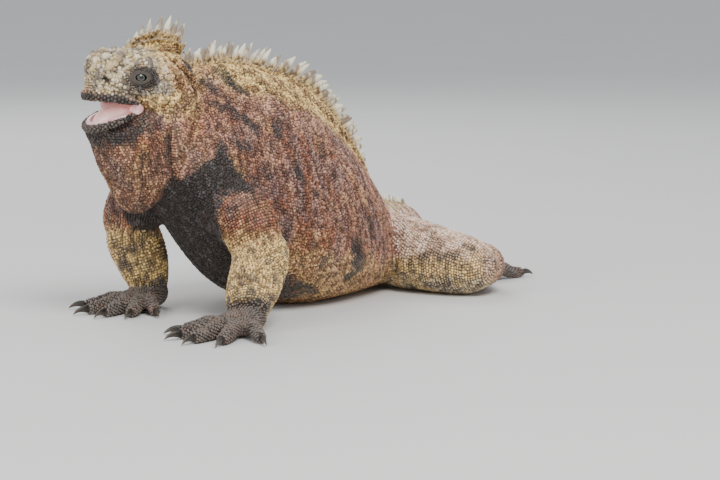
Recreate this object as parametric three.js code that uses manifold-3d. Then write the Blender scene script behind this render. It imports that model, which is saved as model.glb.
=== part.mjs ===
// A life-size still model of an adult male marine iguana, resting on its belly with its chest raised on bent
// forelegs, its mouth open and its tail laid on the floor behind it. Millimetres, +X forward, +Y to the
// animal's left, +Z up. The origin is on the floor, under the middle of the flat on which the belly rests.
//
// The body is one long form of changing cross-section, from the tip of the tail to the back of the head,
// parted into lengths by thin upright cuts. The head, jaw, throat and limbs are forms of the same kind, each
// cut back from the piece that it meets, so that touching pieces keep a small gap.
import * as THREE from "three";
import { mergeVertices } from "three/addons/utils/BufferGeometryUtils.js";
import Module from "manifold-3d";

const wasm = await Module();
wasm.setup();

// Driving dimensions of the animal, in millimetres and degrees.
const TAIL_LENGTH = 600;
const TAIL_ROOT = { x: -152, y: -23, top: 66, half: 33 };
const HEAD_YAW = -25;
const HEAD_ORIGIN = [147, -18, 178];
const JAW_DROP = 18;
const EYE_RADIUS = 6.2;
const CLAW_LENGTH = 13;

// Gaps: an upright cut between two lengths of the body, and how far a piece is cut back from what it meets.
const CUT_GAP = 0.3;
const GROWTH = 0.45;

// Points nearer than this are welded, and edges shorter than the second are simplified away.
const WELD = 1e-4;
const SLIVER = 0.02;

const vec = (x, y, z) => new THREE.Vector3(x, y, z);
const UP = vec(0, 0, 1);
const radians = THREE.MathUtils.degToRad;
const { lerp, smoothstep } = THREE.MathUtils;

// Seeded draw between 0 and 1, so that spines and scutes vary in the same way each time.
const DRAW_FACTOR = 16807;
const DRAW_RANGE = 2147483647;
let seed = 11;
function draw() {
  seed = (seed * DRAW_FACTOR) % DRAW_RANGE;
  return seed / DRAW_RANGE;
}
const vary = (amount) => 1 + amount * (2 * draw() - 1);

// A closed geometry, moved by matrix if one is given, as a solid.
function solid(geometry, matrix) {
  const plain = new THREE.BufferGeometry()
    .setAttribute("position", geometry.getAttribute("position"))
    .setIndex(geometry.index);
  if (matrix) plain.applyMatrix4(matrix);
  const merged = mergeVertices(plain, WELD);
  const triVerts = Uint32Array.from(merged.index.array);
  const make = () =>
    new wasm.Manifold(
      new wasm.Mesh({ numProp: 3, vertProperties: merged.attributes.position.array, triVerts }),
    );
  const made = make();
  if (made.volume() >= 0) return made;
  // The faces look inward, so each is turned over.
  for (let i = 0; i < triVerts.length; i += 3)
    [triVerts[i + 1], triVerts[i + 2]] = [triVerts[i + 2], triVerts[i + 1]];
  return make();
}

const join = (solids) => solids.reduce((all, one) => all.add(one));
const cut = (from, solids) => solids.reduce((rest, one) => rest.subtract(one), from);

// A body of changing cross-section. Each station is [x, y, z, half width, height above, depth below]. Square
// above 2 makes the section boxier, pinch makes it narrower above than below, and upright keeps it in an
// upright plane.
const NORMAL_STEP = 0.004;
class Form {
  constructor(stations, { up = UP, upright = false, square = 2, pinch = 0 } = {}) {
    this.count = stations.length - 1;
    this.centre = new THREE.CatmullRomCurve3(stations.map(([x, y, z]) => vec(x, y, z)));
    const sizes = stations.map(([, , , half, above, below]) => vec(half, above, below));
    this.size = new THREE.CatmullRomCurve3(sizes);
    Object.assign(this, { up, upright, square, pinch });
  }

  // The section's centre, forward direction, left direction and upward direction at t, from 0 to 1.
  frame(t) {
    const forward = this.centre.getTangent(t);
    if (this.upright) forward.setZ(0).normalize();
    const left = this.up.clone().cross(forward).normalize();
    return { centre: this.centre.getPoint(t), forward, left, up: forward.clone().cross(left) };
  }

  // A point of the surface at t, and at angle from straight up towards the left. Share 0 is the centre line.
  at(t, angle, share = 1, grow = 0) {
    const { centre, forward, left, up } = this.frame(t);
    const size = this.size.getPoint(t);
    const bend = (value) => Math.sign(value) * Math.abs(value) ** (2 / this.square);
    const across = bend(Math.sin(angle));
    const high = bend(Math.cos(angle));
    const narrowing = 1 - this.pinch * Math.cos(angle);
    return centre
      .addScaledVector(left, share * across * (size.x + grow) * narrowing)
      .addScaledVector(up, share * high * ((high > 0 ? size.y : size.z) + grow))
      .addScaledVector(forward, grow * (2 * t - 1));
  }

  // The outward direction of the surface.
  normal(t, angle) {
    const [before, after] = [Math.max(0, t - NORMAL_STEP), Math.min(1, t + NORMAL_STEP)];
    const along = this.at(after, angle).sub(this.at(before, angle));
    const around = this.at(t, angle + NORMAL_STEP).sub(this.at(t, angle - NORMAL_STEP));
    return along.cross(around).normalize();
  }

  // The closed solid from one t to another.
  solid({ from = 0, to = 1, sides = 16, steps = this.count * 2, grow = 0, matrix } = {}) {
    const tube = new THREE.CylinderGeometry(1, 1, 1, sides, steps);
    const place = tube.getAttribute("position");
    for (let i = 0; i < place.count; i++) {
      const [x, y, z] = [place.getX(i), place.getY(i), place.getZ(i)];
      const point = this.at(lerp(from, to, y + 0.5), Math.atan2(x, z), Math.min(1, Math.hypot(x, z)), grow);
      place.setXYZ(i, ...point);
    }
    return solid(tube, matrix);
  }
}

// An upright form given by [x, y, top, bottom, half width]: its widest level is a little under the middle.
const WIDEST_LEVEL = 0.42;
const uprightStation = ([x, y, top, bottom, half]) => {
  const z = lerp(bottom, top, WIDEST_LEVEL);
  return [x, y, z, half, top - z, z - bottom];
};

// The floor, cut from everything that would reach below it.
const FLOOR_SIZE = 2000;
const FLOOR_DEPTH = 100;
const floor = solid(
  new THREE.BoxGeometry(FLOOR_SIZE, FLOOR_SIZE, FLOOR_DEPTH),
  new THREE.Matrix4().makeTranslation(0, 0, -FLOOR_DEPTH / 2),
);

// Tail: its line swings round behind the body and then straightens. Its heading, in degrees from straight
// back, starts at one value, gains the swing over the first part and loses some of it again over the last.
const TAIL_STATIONS = 14;
const TAIL_TURN = { start: 16, swing: 62, swungBy: 0.42, straighten: 44, straightenFrom: 0.5 };
const tailHeading = (s) =>
  TAIL_TURN.start +
  TAIL_TURN.swing * smoothstep(s, 0, TAIL_TURN.swungBy) -
  TAIL_TURN.straighten * smoothstep(s, TAIL_TURN.straightenFrom, 1);

// Its width and height shrink partly in step with its length, and otherwise fast behind the root.
const TAIL_TIP = { half: 2.2, top: 6 };
const TAIL_STEADY = { half: 6.8, top: 38 };
const tailHalf = (s) =>
  TAIL_TIP.half +
  TAIL_STEADY.half * (1 - s) +
  (TAIL_ROOT.half - TAIL_STEADY.half - TAIL_TIP.half) * (1 - s) ** 2.1;
const tailTop = (s) =>
  TAIL_TIP.top +
  TAIL_STEADY.top * (1 - s) ** 0.8 +
  (TAIL_ROOT.top - TAIL_STEADY.top - TAIL_TIP.top) * (1 - s) ** 3;
const TAIL_BOTTOM = -0.5;
const tail = [];
for (let i = 0, x = TAIL_ROOT.x, y = TAIL_ROOT.y; i <= TAIL_STATIONS; i++) {
  const s = i / TAIL_STATIONS;
  tail.push([x, y, tailTop(s), TAIL_BOTTOM, tailHalf(s)]);
  const heading = radians(tailHeading(s));
  x -= (Math.cos(heading) * TAIL_LENGTH) / TAIL_STATIONS;
  y -= (Math.sin(heading) * TAIL_LENGTH) / TAIL_STATIONS;
}

// Trunk and neck, from the root of the tail forward: x, y, top, bottom, half width.
const trunk = [
  [-128, -17, 76, -1.0, 37],
  [-100, -11, 94, -2.0, 44],
  [-62, -5, 125, -2.5, 54],
  [-20, -1, 156, -2.5, 62],
  [22, 0, 181, -1.5, 66],
  [60, -1, 194, 8, 65],
  [92, -4, 199, 28, 58],
  [118, -9, 198, 52, 50],
  [138, -15, 196, 78, 43],
  [158, -22, 202, 100, 37],
];
const body = new Form([...tail.reverse(), ...trunk].map(uprightStation), { upright: true, pinch: 0.34 });
const BODY_STATIONS = TAIL_STATIONS + trunk.length;
const bodySolid = (from, to, more) =>
  body.solid({ from: from / BODY_STATIONS, to: to / BODY_STATIONS, ...more });

// The body's lengths: name, first and last station, and sides of the section. Stations lie about 40 mm
// apart, and each length ends half a thin cut short of the next. What other pieces are cut back from
// overlaps a little.
const STATION_GAP = 40;
const CUT = CUT_GAP / 2 / STATION_GAP;
const OVERLAP = 0.02;
const LENGTHS = [
  ["tail_tip", 0, 3.5, 8],
  ["tail_end", 3.5, 7, 10],
  ["tail_middle", 7, 10.5, 12],
  ["tail_base", 10.5, 14.2, 16],
  ["pelvis", 14.2, 16.3, 18],
  ["abdomen", 16.3, 19, 22],
  ["chest", 19, 21.8, 22],
  ["neck", 21.8, 24, 20],
];

// Halvings in a search along a line for the place where it reaches a value.
const SEARCH_STEPS = 30;

// A crest spine: a four-sided cone that swells above its sunk root and curls backward towards its tip.
const SPINE_SIDES = 4;
const SPINE_SWELL = 0.62;
const SPINE_SUNK = 0.2;
const CURL_START = 0.2;
const TALL_SPINE = 9;
function spine({ root, out, back, length, width, thick, curl }) {
  const cone = new THREE.ConeGeometry(1, 1, SPINE_SIDES, length > TALL_SPINE ? 2 : 1);
  const place = cone.getAttribute("position");
  const side = out.clone().cross(back).normalize();
  for (let i = 0; i < place.count; i++) {
    const high = place.getY(i) + 0.5;
    const swell = 1 + SPINE_SWELL * Math.sin(Math.PI * high);
    const rise = (high * (1 + SPINE_SUNK) - SPINE_SUNK) * length;
    const curled = curl * length * Math.max(0, high - CURL_START) ** 2;
    const point = root
      .clone()
      .addScaledVector(out, rise)
      .addScaledVector(back, place.getX(i) * width * swell + curled)
      .addScaledVector(side, place.getZ(i) * thick * swell);
    place.setXYZ(i, ...point);
  }
  return solid(cone);
}

// Length of a crest spine at a station of the body: tallest on the back, low on the hips and the tail.
const CREST = new THREE.CatmullRomCurve3(
  [
    [1.2, 2.0],
    [5, 4.0],
    [10, 6.5],
    [13, 8.5],
    [15.2, 8.0],
    [16, 12],
    [16.8, 17.5],
    [18.6, 20],
    [20, 18.5],
    [21.5, 17],
    [22.6, 14],
    [23.2, 11],
  ].map(([station, length]) => vec(station, length, 0)),
);
function crestLength(station) {
  let [low, high] = [0, 1];
  for (let i = 0; i < SEARCH_STEPS; i++) {
    const middle = (low + high) / 2;
    if (CREST.getPoint(middle).x < station) low = middle;
    else high = middle;
  }
  return CREST.getPoint(low).y;
}

// How far the spines lean back, and over to the left, at a station: most where the back slopes down.
const CREST_LEAN = { least: 0.34, more: 0.4, left: 0.22 };
const slopeShare = (station) => smoothstep(station, 14, 16.5) * (1 - smoothstep(station, 17.5, 21));

// Spines of one length of the body, from front to back, clear of its cuts. The spacing grows with their
// length.
const CREST_BACK = 1.2;
const CREST_FRONT = 23;
const MARGIN_FRONT = 7.4;
const MARGIN_BACK = 4.8;
const CREST_CURL = 0.3;
const CREST_GAP = { tall: 5.8, low: 10.8, perLength: 0.34 };
function crestSpines(from, to) {
  const made = [];
  let station = to;
  const pointAt = (at) => body.at(at / BODY_STATIONS, 0);
  const spacing = (at) => pointAt(at).distanceTo(pointAt(at - 0.01)) / 0.01;
  station -= MARGIN_FRONT / spacing(station);
  while (station > from + MARGIN_BACK / spacing(from + 0.05)) {
    const t = station / BODY_STATIONS;
    const length = crestLength(station) * vary(0.12);
    const { forward, left } = body.frame(t);
    const slope = slopeShare(station);
    const out = body
      .normal(t, 0)
      .addScaledVector(forward, -CREST_LEAN.least - CREST_LEAN.more * slope)
      .addScaledVector(left, CREST_LEAN.left * slope)
      .normalize();
    const back = out.clone().multiplyScalar(out.dot(forward)).sub(forward).normalize();
    const width = Math.min(2.9, 1.0 + length * 0.11);
    const curl = CREST_CURL * vary(0.3);
    made.push(spine({ root: pointAt(station), out, back, length, width, thick: width * 0.55, curl }));
    const least = length > TALL_SPINE ? CREST_GAP.tall : CREST_GAP.low;
    station -= (Math.max(least, length * CREST_GAP.perLength) * vary(0.1)) / spacing(station);
  }
  return made;
}

// Head: its own frame has x forward from the back of the jaw and z up, and is turned and raised as the head
// is.
const headMatrix = new THREE.Matrix4()
  .makeTranslation(...HEAD_ORIGIN)
  .multiply(new THREE.Matrix4().makeRotationZ(radians(HEAD_YAW)));
const headStation = ([x, top, bottom, half]) => {
  const tall = (top - bottom) / 2;
  return [x, 0, bottom + tall, half, tall, tall];
};
const head = new Form(
  [
    [-16, 22, -28, 28],
    [-6, 29, -33, 33],
    [6, 32, -32, 34.5],
    [18, 33, -25, 33.5],
    [27, 33.4, -14.5, 32],
    [35, 33.2, -8.5, 29.5],
    [43, 33, -6, 26],
    [50, 32, -4.8, 22],
    [55, 30, -4, 18],
    [58.5, 26.5, -3.4, 14.5],
    [61, 21.5, -2, 10.5],
    [62.3, 17, 1.5, 6.5],
    [62.8, 13, 5.5, 2.5],
  ].map(headStation),
  { upright: true, square: 2.5, pinch: 0.06 },
);
const inHead = (geometry, x, y, z) =>
  solid(geometry, headMatrix.clone().multiply(new THREE.Matrix4().makeTranslation(x, y, z)));

// A ball with its own radius along each of the head's axes.
function ball(x, y, z, [rx, ry, rz], across = 12, down = 8) {
  const geometry = new THREE.SphereGeometry(1, across, down).scale(rx, ry, rz);
  return inHead(geometry, x, y, z);
}

// A scute of the head: a low six-sided pyramid with a flat top, sunk by as much as it stands out.
const SCUTE_SIDES = 6;
const SCUTE_TOP = 0.45;
function scute(t, angle, radius, height) {
  const plate = new THREE.CylinderGeometry(radius * SCUTE_TOP, radius, height * 2, SCUTE_SIDES, 1);
  const facing = new THREE.Quaternion().setFromUnitVectors(vec(0, 1, 0), head.normal(t, angle));
  const place = new THREE.Matrix4().compose(head.at(t, angle), facing, vec(1, 1, 1));
  return solid(plate, headMatrix.clone().multiply(place));
}

// The t at which the head's line reaches x.
const headT = (x) => {
  let [low, high] = [0, 1];
  for (let i = 0; i < SEARCH_STEPS; i++) {
    const middle = (low + high) / 2;
    if (head.centre.getPoint(middle).x < x) low = middle;
    else high = middle;
  }
  return low;
};

// Rows of scutes from the snout to the back of the crown: x, angles from the middle, radius and height. They
// are largest over the snout and shrink towards the nape.
const SCUTE_ROWS = [
  [58.5, [-54, -20, 20, 54], 4.3, 3.6],
  [53, [-66, -34, 0, 34, 66], 4.6, 3.6],
  [46.5, [-48, -17, 17, 48], 4.4, 3.2],
  [39.5, [-34, 0, 34], 4.3, 2.6],
  [32.5, [-44, -15, 15, 44], 3.9, 2.2],
  [24, [-60, -30, 30, 60], 3.6, 1.9],
  [14, [-64, -38, 38, 64], 3.4, 1.8],
  [4, [-66, -40, 40, 66], 3.2, 1.6],
];
function headScutes() {
  const made = [];
  for (const [x, angles, radius, height] of SCUTE_ROWS) {
    for (const angle of angles) {
      made.push(scute(headT(x), radians(angle), radius * vary(0.12), height * vary(0.2)));
    }
  }
  return made;
}

// Eyes sit deep in sockets under a brow, with a ring of lid round each. Side is 1 on the left and -1 on the
// right.
const EYE = { x: 31.5, y: 29.6, z: 12.6, sunk: 4.6 };
const SIDES = [1, -1];
const eyeBall = (side, grow = 0) => {
  const radius = EYE_RADIUS + grow;
  return ball(EYE.x, side * (EYE.y - EYE.sunk), EYE.z, [radius, radius, radius]);
};
const LID = { radius: 6.4, thick: 2.2, stretch: [1.12, 0.8, 1], turn: 14 };
function lid(side) {
  const ring = new THREE.TorusGeometry(LID.radius, LID.thick, 5, 12).scale(...LID.stretch);
  ring.rotateX(Math.PI / 2).rotateZ(radians(-side * LID.turn));
  return inHead(ring, EYE.x, side * EYE.y, EYE.z);
}
const BROW = { size: [13, 4.5, 5], turn: 16, behind: 1, inward: 3, above: 9 };
function brow(side) {
  const ridge = new THREE.SphereGeometry(1, 8, 6).scale(...BROW.size);
  ridge.rotateZ(radians(-side * BROW.turn));
  return inHead(ridge, EYE.x - BROW.behind, side * (EYE.y - BROW.inward), EYE.z + BROW.above);
}

// Nostrils open to the side near the end of the snout, each in a raised rim. An ear is a shallow pit.
const NOSTRIL = { x: 55.2, y: 17, z: 11.5, size: [2.6, 2.6, 2.1], rim: 3.2, rimThick: 1.5, turn: 50 };
const nostril = (side) => ball(NOSTRIL.x, side * NOSTRIL.y, NOSTRIL.z, NOSTRIL.size, 8, 6);
function nostrilRim(side) {
  const ring = new THREE.TorusGeometry(NOSTRIL.rim, NOSTRIL.rimThick, 4, 8).rotateY(Math.PI / 2);
  ring.rotateZ(radians(side * NOSTRIL.turn));
  return inHead(ring, NOSTRIL.x - 0.6, side * (NOSTRIL.y - 0.4), NOSTRIL.z);
}
const EAR = { x: 8, y: 34.8, z: 12.5, size: [4, 2.4, 5.4] };
const ear = (side) => ball(EAR.x, side * EAR.y, EAR.z, EAR.size, 8, 6);

// Lips: a rolled edge that follows the open end of a jaw, from one corner of the mouth round the front to the
// other. Rise is the level at the corner, the gain at the front and how fast it is reached, and tall says how
// much higher than wide the upper half of the roll is.
const LIP_STATIONS = 12;
const LIP_END = 0.45;
const LIP_FILL = 0.3;
function lip({ reach, half, corner, rise: [low, gain, power], thick, tall, matrix }) {
  const stations = [];
  for (let i = 0; i <= LIP_STATIONS; i++) {
    const angle = (Math.PI * i) / LIP_STATIONS;
    const forward = Math.sin(angle);
    const size = thick * Math.min(1, LIP_END + LIP_FILL * Math.min(i, LIP_STATIONS - i));
    const x = corner + (reach - corner) * forward ** 0.8;
    stations.push([x, half * Math.cos(angle), low + gain * forward ** power, size, size * tall, size]);
  }
  return new Form(stations).solid({ sides: 5, steps: LIP_STATIONS, matrix });
}
const upperLip = lip({
  reach: 63.2,
  half: 29.5,
  corner: 31,
  rise: [-8.6, 6.8, 0.42],
  thick: 2.3,
  tall: 2.4,
  matrix: headMatrix,
});

// Lower jaw, in its own frame at the hinge, dropped open.
const HINGE = [12, 0, -9];
const jawMatrix = headMatrix
  .clone()
  .multiply(new THREE.Matrix4().makeTranslation(...HINGE))
  .multiply(new THREE.Matrix4().makeRotationY(radians(JAW_DROP)));
const jaw = new Form(
  [
    [-6, 2, -26, 30],
    [8, 3, -26, 31.5],
    [20, 3, -24, 30],
    [30, 1.5, -21, 26.5],
    [39, 0.5, -18, 21.5],
    [46, 0, -15.5, 17],
    [51, -0.3, -13, 12.5],
    [54, -1, -10, 8],
    [55.2, -3, -8, 4],
  ].map(headStation),
  { upright: true, square: 2.5 },
);
const lowerLip = lip({
  reach: 53.8,
  half: 29,
  corner: 21,
  rise: [3.5, -3.8, 0.6],
  thick: 2.3,
  tall: 1,
  matrix: jawMatrix,
});

// The hollow roof and floor of the open mouth.
const palate = ball(44, 0, -7, [16, 15, 7]);
const mouthFloor = solid(
  new THREE.SphereGeometry(1, 14, 8).scale(18, 17, 8),
  jawMatrix.clone().multiply(new THREE.Matrix4().makeTranslation(33, 0, 3)),
);

// Tongue: a thick pad that rises behind its tip and lies in the floor of the jaw.
const tongue = new Form(
  [
    [12, 5, -6, 13],
    [20, 9, -6, 15.5],
    [30, 10.5, -6, 15.5],
    [39, 9, -6, 12.5],
    [45, 6, -5, 9],
    [49, 2, -4, 5],
  ].map(headStation),
  { upright: true, square: 2.2 },
);
const tongueSolid = (grow = 0) => tongue.solid({ sides: 12, steps: 8, grow, matrix: jawMatrix });

// Throat: the full pouch of skin under the jaw, along the head's heading: reach forward, level, half width,
// and how far it bulges forward and backward.
const facing = vec(Math.cos(radians(HEAD_YAW)), Math.sin(radians(HEAD_YAW)), 0);
const throat = new Form(
  [
    [24, 86, 7, 6, 6],
    [24.5, 91, 16, 11, 14],
    [25, 101, 23, 17, 20],
    [25, 115, 28, 23.5, 26],
    [26, 131, 31, 29.5, 29],
    [26.5, 142, 31.5, 32.5, 31],
    [26.5, 150, 31.5, 33, 33],
  ].map(([reach, level, ...size]) => [
    HEAD_ORIGIN[0] + reach * facing.x,
    HEAD_ORIGIN[1] + reach * facing.y,
    level,
    ...size,
  ]),
  { up: facing },
);

// Limbs. Each run is [x, y, z, radius across, radius above, radius below] from its root to its end.
const LIMB_SHAPE = { sides: 12, steps: 9 };
const limbs = {
  arm_left: {
    upper: {
      up: vec(0, 0.4, 1),
      stations: [
        [122, 8, 104, 25, 24, 28],
        [121, 22, 97, 25, 24, 28],
        [119.5, 35, 85, 24, 22.5, 26],
        [119, 44, 73, 22, 21, 23],
        [119, 51, 61, 20.5, 19.5, 20],
        [119, 56, 52, 15, 14, 14],
        [119, 58.5, 47.5, 5, 5, 5],
      ],
    },
    lower: {
      up: vec(1, 0, 0.6),
      stations: [
        [109, 50, 64, 10, 9, 9],
        [112, 52, 59, 19, 18, 18],
        [121, 56, 50, 21.5, 20, 21],
        [133, 62, 40, 21.5, 19, 20],
        [147, 68, 30, 20.5, 17.5, 18.5],
        [158, 73, 23, 18, 15, 16.5],
        [165, 76.5, 18, 15.5, 11.5, 14],
      ],
    },
    paw: {
      wrist: [160, 75.5, 14],
      heading: 4,
      palm: 29,
      spread: 17,
      digits: [24, 35, 42, 40, 29],
      fan: [-50, -24, -4, 16, 48],
    },
  },
  arm_right: {
    upper: {
      up: vec(0, -0.4, 1),
      stations: [
        [119, -30, 110, 26, 26, 30],
        [119, -44, 104, 26, 27, 30],
        [120, -60, 94, 24.5, 25, 27],
        [120, -72, 82, 23, 23, 24],
        [120, -79, 70, 20.5, 20, 20],
        [119, -82, 60, 15, 14, 14],
        [119, -84, 55, 5, 5, 5],
      ],
    },
    lower: {
      up: vec(1, 0, 0.4),
      stations: [
        [116, -78, 74, 9, 9, 9],
        [117, -78, 68, 18, 17, 17],
        [117, -76, 57, 22, 21, 21],
        [115, -71, 44, 21.5, 20, 20],
        [113, -68, 32, 19.5, 17.5, 17.5],
        [111, -66, 22, 16.5, 14, 14.5],
        [110, -65, 16, 14, 11, 12],
      ],
    },
    paw: {
      wrist: [108, -65, 14],
      heading: 0,
      palm: 27,
      spread: 16,
      digits: [23, 33, 39, 37, 27],
      fan: [50, 24, 4, -16, -48],
    },
  },
  leg_left: {
    upper: {
      up: vec(0, 0, 1),
      stations: [
        [-106, 4, 36, 28, 27, 32],
        [-104, 24, 35, 31, 28, 32],
        [-101, 48, 33, 32, 27, 32],
        [-98, 72, 30, 31, 25.5, 29],
        [-97, 95, 28, 28, 23, 27],
        [-98, 114, 27, 23, 19.5, 24],
        [-99, 127, 26, 15, 13, 16],
        [-99.5, 132, 26, 5, 5, 6],
      ],
    },
    lower: {
      up: vec(0, 0, 1),
      stations: [
        [-97, 120, 26, 9, 9, 10],
        [-102, 117, 26, 17, 15.5, 17],
        [-115, 109, 24, 19.5, 17.5, 18],
        [-129, 99, 21, 17, 15, 17],
        [-142, 89, 17.5, 13.5, 12, 14],
        [-152, 81, 14, 11, 10, 12],
        [-158, 76, 12, 9.5, 8.5, 10],
      ],
    },
    paw: {
      wrist: [-154, 79, 12],
      heading: 207,
      palm: 32,
      spread: 14,
      digits: [22, 34, 45, 54, 34],
      fan: [28, 12, -2, -16, -42],
    },
  },
  leg_right: {
    upper: {
      up: vec(0, 0, 1),
      stations: [
        [-112, -30, 36, 28, 27, 32],
        [-113, -48, 35, 30, 28, 32],
        [-114, -70, 33, 30, 26, 31],
        [-114, -90, 30, 28, 23, 28],
        [-113, -108, 27, 23, 19.5, 24],
        [-112, -120, 26, 15, 13, 16],
        [-112, -125, 26, 5, 5, 6],
      ],
    },
    lower: {
      up: vec(0, 0, 1),
      stations: [
        [-110, -114, 26, 9, 9, 10],
        [-116, -114, 26, 17, 15.5, 17],
        [-131, -112, 24, 19.5, 17.5, 18],
        [-148, -109, 21, 17, 15, 17],
        [-164, -106, 17.5, 13.5, 12, 14],
        [-176, -104, 14, 11, 10, 12],
        [-183, -103, 12, 9.5, 8.5, 10],
      ],
    },
    paw: {
      wrist: [-178, -103.5, 12],
      heading: 176,
      palm: 32,
      spread: 14,
      digits: [22, 34, 45, 54, 34],
      fan: [-28, -12, 2, 16, 42],
    },
  },
};

// Parts of a digit and of a claw: share of the length, level of the middle and radius. A digit arches over
// its knuckle, and its radius is a share of its thickness. A claw hooks down and is narrower than it is
// high.
const DIGIT_ROWS = [
  [0, 7, 0.9],
  [0.2, 8.4, 1.06],
  [0.42, 8.6, 1.0],
  [0.62, 6.4, 0.96],
  [0.8, 5.2, 0.86],
  [0.94, 4.6, 0.76],
  [1, 4.4, 0.64],
];
const CLAW_ROWS = [
  [0, 4.5, 3.0],
  [0.3, 5.0, 2.5],
  [0.62, 4.4, 1.8],
  [0.88, 2.8, 1.0],
  [1, 1.4, 0.35],
];
const DIGIT_NARROW = 0.92;
const CLAW_NARROW = 0.62;
const THICKNESS = { outer: 5.2, middle: 5.8 };

// Digits leave the palm at this share of its length, fanned over this share of its width.
const DIGIT_ROOT = 0.62;
const FAN_WIDTH = 0.78;
const FAN_TURN = 1.25;
const UNDER_PALM = 0.28;

// A paw: a low palm and five digits that fan out of it. Its claws are pieces of their own.
function paw(name, { wrist: [x, y, z], heading, palm, spread, digits, fan }) {
  const ahead = (turn) => vec(Math.cos(radians(heading + turn)), Math.sin(radians(heading + turn)), 0);
  const forward = ahead(0);
  const across = UP.clone().cross(forward);
  const padRow = (along, level, half, above, below) => [
    x + forward.x * along,
    y + forward.y * along,
    level,
    half,
    above,
    below,
  ];
  const pad = new Form([
    padRow(-10, z, 8, 7, 8),
    padRow(-5, z - 1, 11, 9, 11),
    padRow(palm * 0.35, z - 4, spread * 0.95, 8.5, 9.5),
    padRow(palm * 0.75, z - 5.5, spread * 1.1, 7.5, 8.2),
    padRow(palm, z - 6.5, spread, 5.5, 7),
    padRow(palm + 5, z - 7, spread * 0.7, 3, 5),
  ]);
  const pieces = [pad.solid({ sides: 10, steps: 6 })];
  const claws = [];
  digits.forEach((length, i) => {
    const out = ahead(fan[i]);
    const root = vec(x, y, 0)
      .addScaledVector(forward, palm * DIGIT_ROOT)
      .addScaledVector(across, spread * FAN_WIDTH * Math.sin(radians(fan[i]) * FAN_TURN));
    const thick = i > 0 && i < digits.length - 1 ? THICKNESS.middle : THICKNESS.outer;
    const reach = length + palm * UNDER_PALM;
    const row = (along, level, half, tall) => {
      const point = root.clone().addScaledVector(out, along);
      return [point.x, point.y, level, half, tall, tall];
    };
    const digit = new Form(
      DIGIT_ROWS.map(([share, level, radius]) =>
        row(reach * share, level, radius * thick * DIGIT_NARROW, radius * thick),
      ),
      { upright: true },
    );
    pieces.push(digit.solid({ sides: 6, steps: 5 }));
    const claw = new Form(
      CLAW_ROWS.map(([share, level, radius]) =>
        row(reach + CUT_GAP + CLAW_LENGTH * share, level, radius * CLAW_NARROW, radius),
      ),
      { upright: true },
    );
    claws.push([`claw_${name}_${i + 1}`, claw.solid({ sides: 5, steps: 4 })]);
  });
  return { pieces, claws };
}

// Crest of the nape: a fleshy ridge on the crown and the spines that rise from it, given by x and length.
// They lean further back the further back they stand.
const NAPE_RIDGE = { x: 6.5, z: 29, size: [22.5, 4.4, 14] };
const NAPE_SPINES = [
  [28.5, 9],
  [24, 15],
  [19, 20],
  [13.5, 24],
  [8, 27],
  [2.5, 29],
  [-3, 30],
  [-8.5, 27],
];
const NAPE_LEAN = { front: 0.05, back: -0.36, length: 37 };
const napeRidge = inHead(
  new THREE.SphereGeometry(1, 12, 6).scale(...NAPE_RIDGE.size),
  NAPE_RIDGE.x,
  0,
  NAPE_RIDGE.z,
);
function napeSpine([x, length]) {
  const turned = (direction) => direction.normalize().transformDirection(headMatrix);
  const behind = (NAPE_SPINES[0][0] - x) / NAPE_LEAN.length;
  const lean = lerp(NAPE_LEAN.front, NAPE_LEAN.back, behind);
  return spine({
    root: head.at(headT(x), 0).applyMatrix4(headMatrix),
    out: turned(vec(lean, 0, 1)),
    back: turned(vec(-1, 0, lean)),
    length: length * vary(0.06),
    width: 2.7 + length * 0.045,
    thick: 1.4 + length * 0.035,
    curl: 0.1,
  });
}

// Everything is put together here: pieces in front win, and each later piece is cut back from them.
const nodes = [];
const largest = (made) => made.decompose().sort((a, b) => b.volume() - a.volume())[0];
const keep = (name, made) => nodes.push([name, largest(made.simplify(SLIVER))]);

const headShape = { sides: 20, steps: 15, matrix: headMatrix };
const headGrown = head.solid({ ...headShape, grow: GROWTH });
const headPieces = [
  head.solid(headShape),
  ...headScutes(),
  ...SIDES.map(brow),
  ...SIDES.map(lid),
  ...SIDES.map(nostrilRim),
  upperLip,
  napeRidge,
  ...NAPE_SPINES.map(napeSpine),
];
const headHollows = [
  palate,
  ...SIDES.map((side) => eyeBall(side, CUT_GAP)),
  ...SIDES.map(nostril),
  ...SIDES.map(ear),
];
keep("head", cut(join(headPieces), headHollows));
keep("eye_left", eyeBall(1));
keep("eye_right", eyeBall(-1));
keep("tongue", cut(tongueSolid(), [headGrown]));

const jawShape = { sides: 14, steps: 9, matrix: jawMatrix };
const jawGrown = jaw.solid({ ...jawShape, grow: GROWTH });
keep("lower_jaw", cut(join([jaw.solid(jawShape), lowerLip]), [mouthFloor, tongueSolid(GROWTH), headGrown]));

const throatShape = { sides: 16, steps: 9 };
const throatGrown = throat.solid({ ...throatShape, grow: GROWTH });
keep("throat", cut(throat.solid(throatShape), [headGrown, jawGrown]));

// The grown copy of the body, from which the limbs are cut back, is gathered while its lengths are made.

const bodyGrown = join(
  LENGTHS.map(([name, from, to, sides]) => {
    const detail = { sides, steps: Math.round((to - from) * 2) };
    const spines = crestSpines(Math.max(from, CREST_BACK), Math.min(to, CREST_FRONT));
    const meetsHead = name === "neck" || name === "chest";
    const others = meetsHead ? [floor, headGrown, throatGrown, jawGrown] : [floor];
    keep(name, cut(join([bodySolid(from + CUT, to - CUT, detail), ...spines]), others));
    const [first, last] = [Math.max(0, from - OVERLAP), Math.min(BODY_STATIONS, to + OVERLAP)];
    return bodySolid(first, last, { ...detail, grow: GROWTH });
  }),
);

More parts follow.
